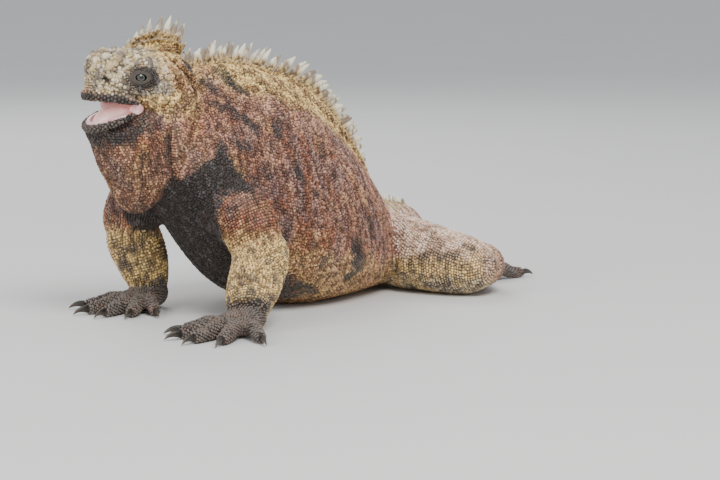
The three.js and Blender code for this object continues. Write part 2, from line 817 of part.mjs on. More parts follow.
const LIMB_NAMES = {
  arm_left: ["upper_arm_left", "forearm_left", "hand_left"],
  arm_right: ["upper_arm_right", "forearm_right", "hand_right"],
  leg_left: ["thigh_left", "shank_left", "foot_left"],
  leg_right: ["thigh_right", "shank_right", "foot_right"],
};
for (const [limb, { upper, lower, paw: end }] of Object.entries(limbs)) {
  const [upperName, lowerName, endName] = LIMB_NAMES[limb];
  const upperForm = new Form(upper.stations, { up: upper.up });
  const lowerForm = new Form(lower.stations, { up: lower.up });
  const upperGrown = upperForm.solid({ ...LIMB_SHAPE, grow: GROWTH });
  const lowerGrown = lowerForm.solid({ ...LIMB_SHAPE, grow: GROWTH });
  keep(upperName, cut(upperForm.solid(LIMB_SHAPE), [bodyGrown, throatGrown, floor]));
  keep(lowerName, cut(lowerForm.solid(LIMB_SHAPE), [upperGrown, bodyGrown, floor]));
  const { pieces, claws } = paw(endName, end);
  keep(endName, cut(join(pieces), [lowerGrown, upperGrown, bodyGrown, floor]));
  for (const [clawName, claw] of claws) keep(clawName, cut(claw, [floor]));
}

// Materials, by what each node is covered with.
const finish = (color, roughness) => new THREE.MeshStandardMaterial({ color, roughness, metalness: 0 });
const materials = {
  trunk: finish(0x8a5a44, 0.8),
  face: finish(0xa89a72, 0.75),
  limb: finish(0xa48a5a, 0.75),
  dark: finish(0x4a4642, 0.8),
  horn: finish(0x2b2825, 0.45),
  mouth: finish(0xd98b8b, 0.4),
  eye: finish(0x2a2a26, 0.15),
};
function materialFor(name) {
  if (name.startsWith("claw")) return materials.horn;
  if (name.startsWith("eye")) return materials.eye;
  if (name === "tongue") return materials.mouth;
  if (name === "head") return materials.face;
  if (/hand|foot|jaw/.test(name)) return materials.dark;
  if (/arm|thigh|shank/.test(name)) return materials.limb;
  return materials.trunk;
}

// The nodes as named meshes in one group.
function meshOf(name, made) {
  const { vertProperties, triVerts, numProp } = made.getMesh();
  const geometry = new THREE.BufferGeometry();
  const positions = new Float32Array((vertProperties.length / numProp) * 3);
  for (let i = 0; i < positions.length / 3; i++)
    positions.set(vertProperties.subarray(i * numProp, i * numProp + 3), i * 3);
  geometry.setAttribute("position", new THREE.BufferAttribute(positions, 3));
  geometry.setIndex(new THREE.BufferAttribute(triVerts, 1));
  geometry.computeVertexNormals();
  const mesh = new THREE.Mesh(geometry, materialFor(name));
  mesh.name = name;
  return mesh;
}

const iguana = new THREE.Group();
for (const [name, made] of nodes) iguana.add(meshOf(name, made));

export default iguana;
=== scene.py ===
# %% [markdown]
# # A life-size marine iguana
#
# A big male lizard rests on its belly, chest raised on bent forelegs, mouth open. The solids of the frame
# give its true size and pose. This lesson lays one skin over them, covers it with scales, sets a crest of
# spines along the back, and gives it eyes, claws, a tongue and a pattern of rust, gold and charcoal.

import math

import bmesh
import bpy
import numpy as np
from mathutils import Matrix, Vector
from mathutils.bvhtree import BVHTree
from mathutils.kdtree import KDTree


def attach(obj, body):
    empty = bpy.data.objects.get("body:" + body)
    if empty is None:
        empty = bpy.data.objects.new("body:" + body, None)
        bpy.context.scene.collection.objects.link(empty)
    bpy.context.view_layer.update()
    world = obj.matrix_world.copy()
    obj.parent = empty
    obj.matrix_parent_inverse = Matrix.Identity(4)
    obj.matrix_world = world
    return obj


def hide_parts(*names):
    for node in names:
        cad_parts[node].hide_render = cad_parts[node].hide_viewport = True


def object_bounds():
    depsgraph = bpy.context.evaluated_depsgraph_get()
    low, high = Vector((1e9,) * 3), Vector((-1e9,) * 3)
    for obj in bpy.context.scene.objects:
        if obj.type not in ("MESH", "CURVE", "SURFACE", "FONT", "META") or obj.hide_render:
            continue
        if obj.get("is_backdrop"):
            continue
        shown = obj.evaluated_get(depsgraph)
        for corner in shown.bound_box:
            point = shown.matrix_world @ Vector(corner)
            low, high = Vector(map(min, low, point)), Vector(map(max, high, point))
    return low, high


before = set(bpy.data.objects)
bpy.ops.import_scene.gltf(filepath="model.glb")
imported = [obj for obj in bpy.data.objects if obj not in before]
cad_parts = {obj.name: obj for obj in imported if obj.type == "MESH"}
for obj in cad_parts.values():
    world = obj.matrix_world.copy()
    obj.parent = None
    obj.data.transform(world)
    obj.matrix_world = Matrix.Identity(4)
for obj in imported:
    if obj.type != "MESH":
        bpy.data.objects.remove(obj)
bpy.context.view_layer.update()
MM = 0.001
luck = np.random.default_rng(7)

# %% [markdown]
# ## Camera
#
# The photograph was taken from the animal's left, a little in front of it and a little above the floor,
# through a long lens. A camera is a place and three directions: right, up and back. The place is chosen so
# that the origin of the frame lands on the right pixel of a picture 720 wide and 480 high.

# %% Camera
PICTURE_WIDTH, PICTURE_HEIGHT = 720, 480
AZIMUTH, ELEVATION = math.radians(125), math.radians(7)
DISTANCE = 1.9
FOCAL_PIXELS = 2280
ORIGIN_PIXEL = (296, 298)
SENSOR = 36

back = Vector(
    (math.sin(AZIMUTH) * math.cos(ELEVATION), -math.cos(AZIMUTH) * math.cos(ELEVATION), math.sin(ELEVATION))
)
right = Vector((math.cos(AZIMUTH), math.sin(AZIMUTH), 0))
above = back.cross(right)
shift_right = (ORIGIN_PIXEL[0] - PICTURE_WIDTH / 2) / FOCAL_PIXELS * DISTANCE
shift_down = (ORIGIN_PIXEL[1] - PICTURE_HEIGHT / 2) / FOCAL_PIXELS * DISTANCE
camera_data = bpy.data.cameras.new("camera")
camera_data.sensor_width = SENSOR
camera_data.lens = FOCAL_PIXELS / PICTURE_WIDTH * SENSOR
camera = bpy.data.objects.new("camera", camera_data)
turn = Matrix((right, above, back)).transposed().to_4x4()
camera.matrix_world = Matrix.Translation(back * DISTANCE - right * shift_right + above * shift_down) @ turn
bpy.context.scene.collection.objects.link(camera)
bpy.context.scene.camera = camera
print("camera at", [round(v, 3) for v in camera.matrix_world.translation], "lens", round(camera_data.lens, 1))

# %% [markdown]
# ## Forms
#
# A lizard is made of long forms whose cross-section changes: trunk, limbs, toes, jaw. Each is given by a few
# stations, the same ones as the solids have, and a smooth curve runs through them. Any point of the surface
# then has two numbers: t along the form and an angle round it. The skin, the rows of scales and the spines
# are all laid out by those two numbers, so they fit each other.


# %% A form
def smooth_curve(points, t):
    """Points on a smooth curve through the given points, at t from 0 to 1."""
    ends = np.vstack([2 * points[0] - points[1], points, 2 * points[-1] - points[-2]])
    place = np.clip(t, 0, 1) * (len(points) - 1)
    first = np.minimum(place.astype(int), len(points) - 2)
    w = (place - first)[:, None]
    p0, p1, p2, p3 = (ends[first + k] for k in range(4))
    spans = ((p0, p1), (p1, p2), (p2, p3))
    gap = [np.maximum(np.linalg.norm(b - a, axis=1), 1e-9)[:, None] ** 0.5 for a, b in spans]
    leave = ((p1 - p0) / gap[0] - (p2 - p0) / (gap[0] + gap[1]) + (p2 - p1) / gap[1]) * gap[1]
    arrive = ((p2 - p1) / gap[1] - (p3 - p1) / (gap[1] + gap[2]) + (p3 - p2) / gap[2]) * gap[1]
    bend = 2 * (p1 - p2) + leave + arrive
    return p1 + leave * w + (3 * (p2 - p1) - 2 * leave - arrive) * w**2 + bend * w**3


def unit(vectors):
    return vectors / np.maximum(np.linalg.norm(vectors, axis=-1, keepdims=True), 1e-12)


def moved(points, matrix):
    """Points taken through a 4x4 matrix."""
    m = np.array(matrix)
    return points @ m[:3, :3].T + m[:3, 3]


class Form:
    """A body of changing cross-section. A station is x, y, z, half width, height above, depth below, mm."""

    def __init__(self, stations, up=(0, 0, 1), upright=False, square=2.0, pinch=0.0, matrix=None):
        rows = np.array(stations, float) * MM
        self.centres, self.sizes = rows[:, :3], rows[:, 3:]
        self.up = np.array(up, float)
        self.upright, self.square, self.pinch = upright, square, pinch
        self.matrix = matrix or Matrix.Identity(4)

    def frame(self, t):
        forward = unit(smooth_curve(self.centres, t + 1e-4) - smooth_curve(self.centres, t - 1e-4))
        if self.upright:
            forward[:, 2] = 0
            forward = unit(forward)
        left = unit(np.cross(self.up[None, :], forward))
        return smooth_curve(self.centres, t), forward, left, np.cross(forward, left)

    def at(self, t, angle):
        """Points of the surface at t and at angle, in radians from straight up towards the left."""
        t, angle = np.broadcast_arrays(np.asarray(t, float), np.asarray(angle, float))
        shape = t.shape
        t, angle = t.ravel(), angle.ravel()
        centre, _, left, up = self.frame(t)
        half, high, low = smooth_curve(self.sizes, t).T
        across, level = (np.sign(v) * np.abs(v) ** (2 / self.square) for v in (np.sin(angle), np.cos(angle)))
        half = half * across * (1 - self.pinch * np.cos(angle))
        rise = level * np.where(level > 0, high, low)
        return moved(centre + left * half[:, None] + up * rise[:, None], self.matrix).reshape(*shape, 3)

    def directions(self, t, angle):
        """The outward direction and the direction along the form, at points of the surface."""
        step = 0.004
        along = self.at(np.minimum(1, t + step), angle) - self.at(np.maximum(0, t - step), angle)
        around = self.at(t, angle + step) - self.at(t, angle - step)
        return unit(np.cross(along, around)), unit(along)


def loft(form, sides, rings):
    """The closed surface of a form: a grid wrapped round it, welded at its seam and filled at its ends."""
    bm = bmesh.new()
    bmesh.ops.create_grid(bm, x_segments=rings, y_segments=sides, size=0.5)
    flat = np.array([v.co[:2] for v in bm.verts])
    places = form.at(flat[:, 0] + 0.5, 2 * math.pi * flat[:, 1])
    for vertex, place in zip(bm.verts, places):
        vertex.co = place
    bmesh.ops.remove_doubles(bm, verts=bm.verts, dist=1e-6)
    bmesh.ops.holes_fill(bm, edges=[e for e in bm.edges if e.is_boundary], sides=0)
    bmesh.ops.recalc_face_normals(bm, faces=bm.faces)
    return bm


# %% [markdown]
# ## The stations
#
# These numbers are the solids' own, in millimetres, but for the ridge of the back. The tail is worked out
# from its length and the bend of its line. The trunk is given by its ridge, its belly and its half width.
# Head and jaw have a frame of their own, with x forward, because the head is turned to one side.

# %% Trunk, neck and tail
TAIL_LENGTH = 600
TAIL_STATIONS = 14
TAIL_ROOT = {"x": -152, "y": -23, "top": 66, "half": 33}
WIDEST_LEVEL = 0.42


def smoothstep(x, low, high):
    share = np.clip((np.asarray(x, float) - low) / (high - low), 0, 1)
    return share * share * (3 - 2 * share)


def band(x, rise_from, rise_to, fall_from, fall_to):
    """1 between rise_to and fall_from, 0 outside rise_from and fall_to, smooth between."""
    return smoothstep(x, rise_from, rise_to) * (1 - smoothstep(x, fall_from, fall_to))


def upright_station(x, y, top, bottom, half):
    z = bottom + (top - bottom) * WIDEST_LEVEL
    return [x, y, z, half, top - z, z - bottom]


tail = []
x, y = TAIL_ROOT["x"], TAIL_ROOT["y"]
for i in range(TAIL_STATIONS + 1):
    s = i / TAIL_STATIONS
    half = 2.2 + (TAIL_ROOT["half"] - 9) * (1 - s) ** 2.1 + 6.8 * (1 - s)
    top = 6 + (TAIL_ROOT["top"] - 44) * (1 - s) ** 3 + 38 * (1 - s) ** 0.8
    tail.append(upright_station(x, y, top, -0.5, half))
    heading = math.radians(16 + 62 * float(smoothstep(s, 0, 0.42)) - 44 * float(smoothstep(s, 0.5, 1)))
    x -= math.cos(heading) * TAIL_LENGTH / TAIL_STATIONS
    y -= math.sin(heading) * TAIL_LENGTH / TAIL_STATIONS

trunk = [
    [-128, -17, 76, -1.0, 37],
    [-100, -11, 94, -2.0, 44],
    [-62, -5, 125, -2.5, 54],
    [-20, -1, 156, -2.5, 62],
    [22, 0, 181, -1.5, 66],
    [60, -1, 194, 8, 65],
    [92, -4, 199, 28, 58],
    [118, -9, 198, 52, 50],
    [138, -15, 196, 78, 43],
    [158, -22, 202, 100, 37],
]
BODY_STATIONS = TAIL_STATIONS + len(trunk)
body = Form(tail[::-1] + [upright_station(*s) for s in trunk], upright=True, pinch=0.34)

# %% [markdown]
# ## Ridge of the back
#
# Over the loins the crest stands on a low roll of flesh. The solids leave it out, because it is soft and low.
# It could be pushed out of the finished skin, but as a form of its own it gives the scales and spines on it a
# t and an angle too.

# %% Ridge of the back
RIDGE_RISE, RIDGE_ASIDE = 9.5, 4.5
RIDGE_ENDS = (15.0, 20.6)


def ridge_swell(station):
    """0 where the ridge runs out, 1 where it is tallest."""
    return band(station, 15.2, 16.8, 18, 20.4)


def crest_root(station):
    """The place of the crest's line at a station, in metres."""
    root = body.at(np.array([station / BODY_STATIONS]), np.zeros(1))[0]
    return root + np.array([-0.3 * RIDGE_RISE, RIDGE_ASIDE, RIDGE_RISE]) * MM * ridge_swell(station)


ridge_rows = []
for station in np.linspace(*RIDGE_ENDS, 16):
    x, y, z = crest_root(station) / MM
    ridge_rows.append([x, y, z - 12, 10 + 4 * ridge_swell(station), 12, 14])
back_ridge = Form(ridge_rows, upright=True, pinch=0.45)
print("ridge of the back, rise", RIDGE_RISE, "mm over", len(ridge_rows), "stations")

# %% Head, jaw, throat, tongue and lips
HEAD_YAW = math.radians(-25)
HEAD_ORIGIN = (147, -18, 178)
JAW_DROP = math.radians(18)
HINGE = (12, 0, -9)
head_matrix = Matrix.Translation(Vector(HEAD_ORIGIN) * MM) @ Matrix.Rotation(HEAD_YAW, 4, "Z")
jaw_matrix = head_matrix @ Matrix.Translation(Vector(HINGE) * MM) @ Matrix.Rotation(JAW_DROP, 4, "Y")


def head_station(x, top, bottom, half):
    middle, tall = (top + bottom) / 2, (top - bottom) / 2
    return [x, 0, middle, half, tall, tall]


head_rows = [
    [-16, 22, -28, 28],
    [-6, 29, -33, 33],
    [6, 32, -32, 34.5],
    [18, 33, -25, 33.5],
    [27, 33.4, -14.5, 32],
    [35, 33.2, -8.5, 29.5],
    [43, 33, -6, 26],
    [50, 32, -4.8, 22],
    [55, 30, -4, 18],
    [58.5, 26.5, -3.4, 14.5],
    [61, 21.5, -2, 10.5],
    [62.3, 17, 1.5, 6.5],
    [62.8, 13, 5.5, 2.5],
]
head = Form([head_station(*r) for r in head_rows], upright=True, square=2.5, pinch=0.06, matrix=head_matrix)
jaw_rows = [
    [-6, 2, -26, 30],
    [8, 3, -26, 31.5],
    [20, 3, -24, 30],
    [30, 1.5, -21, 26.5],
    [39, 0.5, -18, 21.5],
    [46, 0, -15.5, 17],
    [51, -0.3, -13, 12.5],
    [54, -1, -10, 8],
    [55.2, -3, -8, 4],
]
jaw = Form([head_station(*r) for r in jaw_rows], upright=True, square=2.5, matrix=jaw_matrix)
tongue_rows = [
    [12, 5, -6, 13],
    [20, 9, -6, 15.5],
    [30, 10.5, -6, 15.5],
    [39, 9, -6, 12.5],
    [45, 6, -5, 9],
    [49, 2, -4, 5],
    [50, 0, -2.5, 2],
]
tongue = Form([head_station(*r) for r in tongue_rows], upright=True, square=2.2, matrix=jaw_matrix)
head_heading = np.array([math.cos(HEAD_YAW), math.sin(HEAD_YAW), 0])
throat_rows = [
    [24, 86, 7, 6, 6],
    [24.5, 91, 16, 11, 14],
    [25, 101, 23, 17, 20],
    [25, 115, 28, 23.5, 26],
    [26, 131, 31, 29.5, 29],
    [26.5, 142, 31.5, 32.5, 31],
    [26.5, 150, 31.5, 33, 33],
]
head_x, head_y, _ = HEAD_ORIGIN
throat = Form(
    [[head_x + r * head_heading[0], head_y + r * head_heading[1], *row] for r, *row in throat_rows],
    up=head_heading,
)


UPPER_LIP = {"reach": 63.2, "half": 29.5, "corner": 31, "level": lambda s: -8.6 + 6.8 * s**0.42}
LOWER_LIP = {"reach": 53.8, "half": 29, "corner": 21, "level": lambda s: 3.5 - 3.8 * s**0.6}
LIP_BEND = 0.8


def lip_line(lip, thick, matrix, tall=1.0, inset=0.0, sink=0.0, turns=(0, 180)):
    """A roll along the open edge of a jaw, from one corner of the mouth round the front to the other."""
    rows = []
    for i in range(13):
        angle = math.radians(turns[0] + (turns[1] - turns[0]) * i / 12)
        size = thick * min(1, 0.45 + 0.3 * min(i, 12 - i))
        ahead = max(0.0, math.sin(angle))
        x = lip["corner"] + (lip["reach"] - inset - lip["corner"]) * ahead**LIP_BEND
        y, z = (lip["half"] - inset) * math.cos(angle), lip["level"](ahead) - sink
        rows.append([x, y, z, size, size * tall, size])
    return Form(rows, matrix=matrix)


upper_lip = lip_line(UPPER_LIP, 2.3, head_matrix, tall=2.4)
lower_lip = lip_line(LOWER_LIP, 2.3, jaw_matrix)


def inside_lip(points, lip, matrix):
    """How far points lie inside the curve of a lip, in mm, and how high above its edge."""
    x, y, z = (moved(points, matrix.inverted()) / MM).T
    ahead = np.clip((x - lip["corner"]) / (lip["reach"] - lip["corner"]), 0, 1) ** (1 / LIP_BEND)
    return lip["half"] * np.sqrt(1 - ahead**2) - np.abs(y), z - lip["level"](ahead), x


def mouth_at(points):
    """1 for points inside the open mouth, 0 outside, soft between."""
    in_upper, over_upper, x_head = inside_lip(points, UPPER_LIP, head_matrix)
    in_lower, over_lower, x_jaw = inside_lip(points, LOWER_LIP, jaw_matrix)
    within = np.minimum(in_upper, in_lower)
    between = np.minimum(0.8 - over_upper, over_lower + 0.8)
    share = smoothstep(within, 0.6, 2.2) * smoothstep(between, 0, 1.2)
    return share * smoothstep(x_head, 12, 16) * (x_jaw < 60)


# %% Limbs
limb_rows = {
    "upper_arm_left": (
        (0, 0.4, 1),
        [
            [122, 8, 104, 25, 24, 28],
            [121, 22, 97, 25, 24, 28],
            [119.5, 35, 85, 24, 22.5, 26],
            [119, 44, 73, 22, 21, 23],
            [119, 51, 61, 20.5, 19.5, 20],
            [119, 56, 52, 15, 14, 14],
            [119, 58.5, 47.5, 5, 5, 5],
        ],
    ),
    "forearm_left": (
        (1, 0, 0.6),
        [
            [109, 50, 64, 10, 9, 9],
            [112, 52, 59, 19, 18, 18],
            [121, 56, 50, 21.5, 20, 21],
            [133, 62, 40, 21.5, 19, 20],
            [147, 68, 30, 20.5, 17.5, 18.5],
            [158, 73, 23, 18, 15, 16.5],
            [165, 76.5, 18, 15.5, 11.5, 14],
        ],
    ),
    "upper_arm_right": (
        (0, -0.4, 1),
        [
            [119, -30, 110, 26, 26, 30],
            [119, -44, 104, 26, 27, 30],
            [120, -60, 94, 24.5, 25, 27],
            [120, -72, 82, 23, 23, 24],
            [120, -79, 70, 20.5, 20, 20],
            [119, -82, 60, 15, 14, 14],
            [119, -84, 55, 5, 5, 5],
        ],
    ),
    "forearm_right": (
        (1, 0, 0.4),
        [
            [116, -78, 74, 9, 9, 9],
            [117, -78, 68, 18, 17, 17],
            [117, -76, 57, 22, 21, 21],
            [115, -71, 44, 21.5, 20, 20],
            [113, -68, 32, 19.5, 17.5, 17.5],
            [111, -66, 22, 16.5, 14, 14.5],
            [110, -65, 16, 14, 11, 12],
        ],
    ),
    "thigh_left": (
        (0, 0, 1),
        [
            [-106, 4, 36, 28, 27, 32],
            [-104, 24, 35, 31, 28, 32],
            [-101, 48, 33, 32, 27, 32],
            [-98, 72, 30, 31, 25.5, 29],
            [-97, 95, 28, 28, 23, 27],
            [-98, 114, 27, 23, 19.5, 24],
            [-99, 127, 26, 15, 13, 16],
            [-99.5, 132, 26, 5, 5, 6],
        ],
    ),
    "shank_left": (
        (0, 0, 1),
        [
            [-97, 120, 26, 9, 9, 10],
            [-102, 117, 26, 17, 15.5, 17],
            [-115, 109, 24, 19.5, 17.5, 18],
            [-129, 99, 21, 17, 15, 17],
            [-142, 89, 17.5, 13.5, 12, 14],
            [-152, 81, 14, 11, 10, 12],
            [-158, 76, 12, 9.5, 8.5, 10],
        ],
    ),
    "thigh_right": (
        (0, 0, 1),
        [
            [-112, -30, 36, 28, 27, 32],
            [-113, -48, 35, 30, 28, 32],
            [-114, -70, 33, 30, 26, 31],
            [-114, -90, 30, 28, 23, 28],
            [-113, -108, 27, 23, 19.5, 24],
            [-112, -120, 26, 15, 13, 16],
            [-112, -125, 26, 5, 5, 6],
        ],
    ),
    "shank_right": (
        (0, 0, 1),
        [
            [-110, -114, 26, 9, 9, 10],
            [-116, -114, 26, 17, 15.5, 17],
            [-131, -112, 24, 19.5, 17.5, 18],
            [-148, -109, 21, 17, 15, 17],
            [-164, -106, 17.5, 13.5, 12, 14],
            [-176, -104, 14, 11, 10, 12],
            [-183, -103, 12, 9.5, 8.5, 10],
        ],
    ),
}
limbs = {name: Form(rows, up=up) for name, (up, rows) in limb_rows.items()}

# %% Hands and feet: a low palm and five digits that fan out of it, each with a hooked claw
CLAW_LENGTH = 13
CUT_GAP = 0.3
paw_sizes = {
    "hand_left": ((160, 75.5, 14), 4, 29, 17, [24, 35, 42, 40, 29], [-50, -24, -4, 16, 48]),
    "hand_right": ((108, -65, 14), 0, 27, 16, [23, 33, 39, 37, 27], [50, 24, 4, -16, -48]),
    "foot_left": ((-154, 79, 12), 207, 32, 14, [22, 34, 45, 54, 34], [28, 12, -2, -16, -42]),
    "foot_right": ((-178, -103.5, 12), 176, 32, 14, [22, 34, 45, 54, 34], [-28, -12, 2, 16, 42]),
}
KNUCKLES = [(0, 7, 0.9), (0.2, 8.4, 1.06), (0.42, 8.6, 1.0), (0.62, 6.4, 0.96), (0.8, 5.2, 0.86)]
KNUCKLES += [(0.94, 4.6, 0.76), (1, 4.4, 0.64)]
CLAW_ROWS = [(0, 4.5, 3.0), (0.3, 5.0, 2.5), (0.62, 4.4, 1.8), (0.88, 2.8, 1.0), (1, 1.4, 0.35)]


def paw(wrist, heading, palm, spread, digits, fan):
    """The forms of a palm, its digits and their claws."""
    x, y, z = wrist

    def ahead(turn):
        angle = math.radians(heading + turn)
        return np.array([math.cos(angle), math.sin(angle), 0])

    forward = ahead(0)
    across = np.cross((0, 0, 1), forward)
    pad_rows = [
        (-10, z, 8, 7, 8),
        (-5, z - 1, 11, 9, 11),
        (palm * 0.35, z - 4, spread * 0.95, 8.5, 9.5),
        (palm * 0.75, z - 5.5, spread * 1.1, 7.5, 8.2),
        (palm, z - 6.5, spread, 5.5, 7),
        (palm + 5, z - 7, spread * 0.7, 3, 5),
    ]
    pad = Form([[x + forward[0] * a, y + forward[1] * a, *row] for a, *row in pad_rows])
    toes, claws = [], []
    for i, (length, turned) in enumerate(zip(digits, fan)):
        out = ahead(turned)
        root = np.array([x, y, 0]) + forward * palm * 0.62
        root = root + across * spread * 0.78 * math.sin(math.radians(turned) * 1.25)
        thick = 5.8 if 0 < i < 4 else 5.2
        reach = length + palm * 0.28
        rows = []
        for share, level, radius in KNUCKLES:
            place = root + out * reach * share
            rows.append([place[0], place[1], level, radius * thick * 0.92, radius * thick, radius * thick])
        toes.append(Form(rows, upright=True))
        tip = root + out * (reach + CUT_GAP)
        rows = []
        for share, level, radius in CLAW_ROWS:
            place = tip + out * CLAW_LENGTH * share
            rows.append([place[0], place[1], level, radius * 0.62, radius, radius])
        claws.append(Form(rows, upright=True))
    return pad, toes, claws


paws = {name: paw(*sizes) for name, sizes in paw_sizes.items()}
print("forms:", 6 + len(limbs) + 6 * len(paws))

# %% [markdown]
# ## Helpers for meshes
#
# A modifier can do heavy work, such as joining many shells into one. It is applied by reading back the mesh
# that Blender evaluates. Facts that the material needs, such as how much gold a place has, are stored in the
# mesh as attributes of its points.


# %% Mesh helpers
def new_object(name, mesh):
    obj = bpy.data.objects.new(name, mesh)
    bpy.context.scene.collection.objects.link(obj)
    return obj


def object_from(name, bm):
    mesh = bpy.data.meshes.new(name)
    bm.to_mesh(mesh)
    bm.free()
    return new_object(name, mesh)


def with_modifier(obj, kind, **settings):
    """Adds a modifier and applies it."""
    modifier = obj.modifiers.new(kind.lower(), kind)
    for key, value in settings.items():
        setattr(modifier, key, value)
    bpy.context.view_layer.update()
    made = bpy.data.meshes.new_from_object(obj.evaluated_get(bpy.context.evaluated_depsgraph_get()))
    obj.modifiers.clear()
    obj.data = made
    return obj


def joined(bms):
    """One bmesh that holds all the given ones."""
    whole = bmesh.new()
    for bm in bms:
        part = bpy.data.meshes.new("part")
        bm.to_mesh(part)
        bm.free()
        whole.from_mesh(part)
        bpy.data.meshes.remove(part)
    return whole


def coordinates(mesh):
    co = np.empty(len(mesh.vertices) * 3)
    mesh.vertices.foreach_get("co", co)
    return co.reshape(-1, 3)


def store(mesh, name, values):
    """Stores one number, or three, for each point of a mesh."""
    values = np.asarray(values, np.float32)
    kind = "FLOAT" if values.ndim == 1 else "FLOAT_VECTOR"
    attribute = mesh.attributes.new(name, kind, "POINT")
    attribute.data.foreach_set("value" if values.ndim == 1 else "vector", values.ravel())


def piece(obj, material, slot, *nodes):
    """Finishes a piece: smooth shading, its material, the body it rides on, and the nodes it stands for."""
    obj.data.materials.clear()
    obj.data.materials.append(material)
    obj.data.polygons.foreach_set("use_smooth", [True] * len(obj.data.polygons))
    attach(obj, "root")
    if nodes:
        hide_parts(*nodes)
    print(obj.name, len(obj.data.polygons), "faces")
    return obj


# %% [markdown]
# ## Skin
#
# One skin covers trunk, head and limbs without a seam. The forms are made a little finer than the solids and
# pushed into each other, and a voxel remesh turns the pile into one closed surface. Smoothing then rounds the
# creases where limbs leave the trunk, as muscle and loose skin do. The mouth and the sockets of the eyes are
# cut out of it.

# %% Skin
VOXEL = 2.1 * MM
FLAT_LEVEL = 0.3 * MM
EYE = (31.5, 25.0, 12.6)
EYE_RADIUS = 6.2
NOSTRIL = (55.2, 17.0, 11.5)
EAR = (8, 34.8, 12.5)
NAPE_RIDGE = {"place": (6.5, 0, 29), "radii": (22.5, 4.4, 14)}
BROW = {"behind": 1, "inward": 3, "above": 9, "radii": (13, 4.5, 5), "turn": 16}


def ball(matrix, place, radii, across=24, down=16, turned=0.0):
    bm = bmesh.new()
    spot = Matrix.Translation(Vector(place) * MM)
    heading = Matrix.Rotation(math.radians(turned), 4, "Z")
    put = matrix @ spot @ heading @ Matrix.Diagonal((*(r * MM for r in radii), 1))
    bmesh.ops.create_uvsphere(bm, u_segments=across, v_segments=down, radius=1, matrix=put)
    return bm


shells = [loft(body, 64, 240), loft(back_ridge, 24, 80)]
shells += [loft(head, 64, 60), loft(jaw, 48, 40), loft(throat, 48, 30)]
shells += [loft(upper_lip, 12, 60), loft(lower_lip, 12, 60)]
shells += [ball(head_matrix, **NAPE_RIDGE, across=36, down=24)]
for side in (1, -1):
    place = (EYE[0] - BROW["behind"], side * (EYE[1] - BROW["inward"]), EYE[2] + BROW["above"])
    shells.append(ball(head_matrix, place, BROW["radii"], turned=-side * BROW["turn"]))
shells += [loft(form, 40, 30) for form in limbs.values()]
for pad, toes, _ in paws.values():
    shells += [loft(pad, 32, 20)] + [loft(toe, 20, 24) for toe in toes]
skin = object_from("skin", joined(shells))
with_modifier(skin, "REMESH", mode="VOXEL", voxel_size=VOXEL)
print("skin", len(skin.data.vertices), "points after the remesh")

# %% Mouth, sockets, nostrils and ears cut out of the skin
hollows = [ball(head_matrix, (44, 0, -7), (16, 15, 7)), ball(jaw_matrix, (33, 0, 3), (18, 17, 8))]
for side in (1, -1):
    hollows.append(ball(head_matrix, (EYE[0], side * (EYE[1] + 1.5), EYE[2]), (9, 8, 7)))
    pit = (NOSTRIL[0] + 0.6, side * (NOSTRIL[1] + 1), NOSTRIL[2])
    hollows.append(ball(head_matrix, pit, (3.0, 4, 2.1), turned=side * 40))
    hollows.append(ball(head_matrix, (EAR[0], side * EAR[1], EAR[2]), (4, 2.6, 5.4)))
hollow = object_from("hollow", joined(hollows))
with_modifier(skin, "BOOLEAN", operation="DIFFERENCE", object=hollow, solver="MANIFOLD")
bpy.data.objects.remove(hollow)
print("skin", len(skin.data.vertices), "points after the cuts")

# %% Smoothing: strong on trunk and limbs, weak on the head and the digits
points = coordinates(skin.data)
in_head = moved(points, head_matrix.inverted())
near_face = smoothstep(in_head[:, 0], 8 * MM, 20 * MM) * smoothstep(in_head[:, 2], -60 * MM, -40 * MM)
digit_height = 1 - smoothstep(points[:, 2], 14 * MM, 22 * MM)
keep_sharp = np.maximum(near_face * 0.75, digit_height * 0.6)
group = skin.vertex_groups.new(name="smooth")
for step in range(1, 11):
    members = np.nonzero(np.round((1 - keep_sharp) * 10).astype(int) == step)[0]
    group.add(members.tolist(), step / 10, "REPLACE")
with_modifier(skin, "SMOOTH", factor=0.5, iterations=8, vertex_group="smooth")

# %% Folds of loose skin, each a line on the left side in mm, its depth and its half width
NECK_FOLD = [(161, -2, 205), (153, 10, 192), (146, 14, 180), (144, 15, 165), (154, 17, 150), (164, 18, 136)]
FOLDS = [
    (NECK_FOLD, 4.2, 4.4),
    ([(164, 18, 136), (168, 15, 124), (165, 3, 104)], 4.2, 4.5),
    ([(148, 5, 199), (134, 10, 180), (135, 19, 163), (134, 28, 145)], 2.0, 4.0),
    ([(-103, 25, 63), (-80, 46, 51), (-70, 54, 29), (-84, 44, 8)], 2.6, 5.0),
    ([(198, -14, 136), (192, -11, 121), (181, -6, 107)], 1.0, 4.0),
    ([(186, -3, 150), (180, 2, 132), (174, 4, 114)], 0.9, 4.5),
    ([(105, 34, 152), (101, 43, 133), (104, 51, 103)], 0.9, 6.0),
    ([(57, 46, 140), (60, 57, 112), (62, 64, 80)], 0.7, 6.0),
    ([(12, 50, 112), (8, 60, 90), (4, 66, 60)], 0.8, 7.0),
    ([(-22, 46, 96), (-28, 57, 74), (-36, 60, 46)], 0.9, 7.0),
    ([(75, 50, 34), (40, 58, 22), (0, 58, 20), (-40, 50, 16)], 1.2, 6.0),
]


def normals_of(mesh):
    found = np.empty(len(mesh.vertices) * 3)
    mesh.vertices.foreach_get("normal", found)
    return found.reshape(-1, 3)


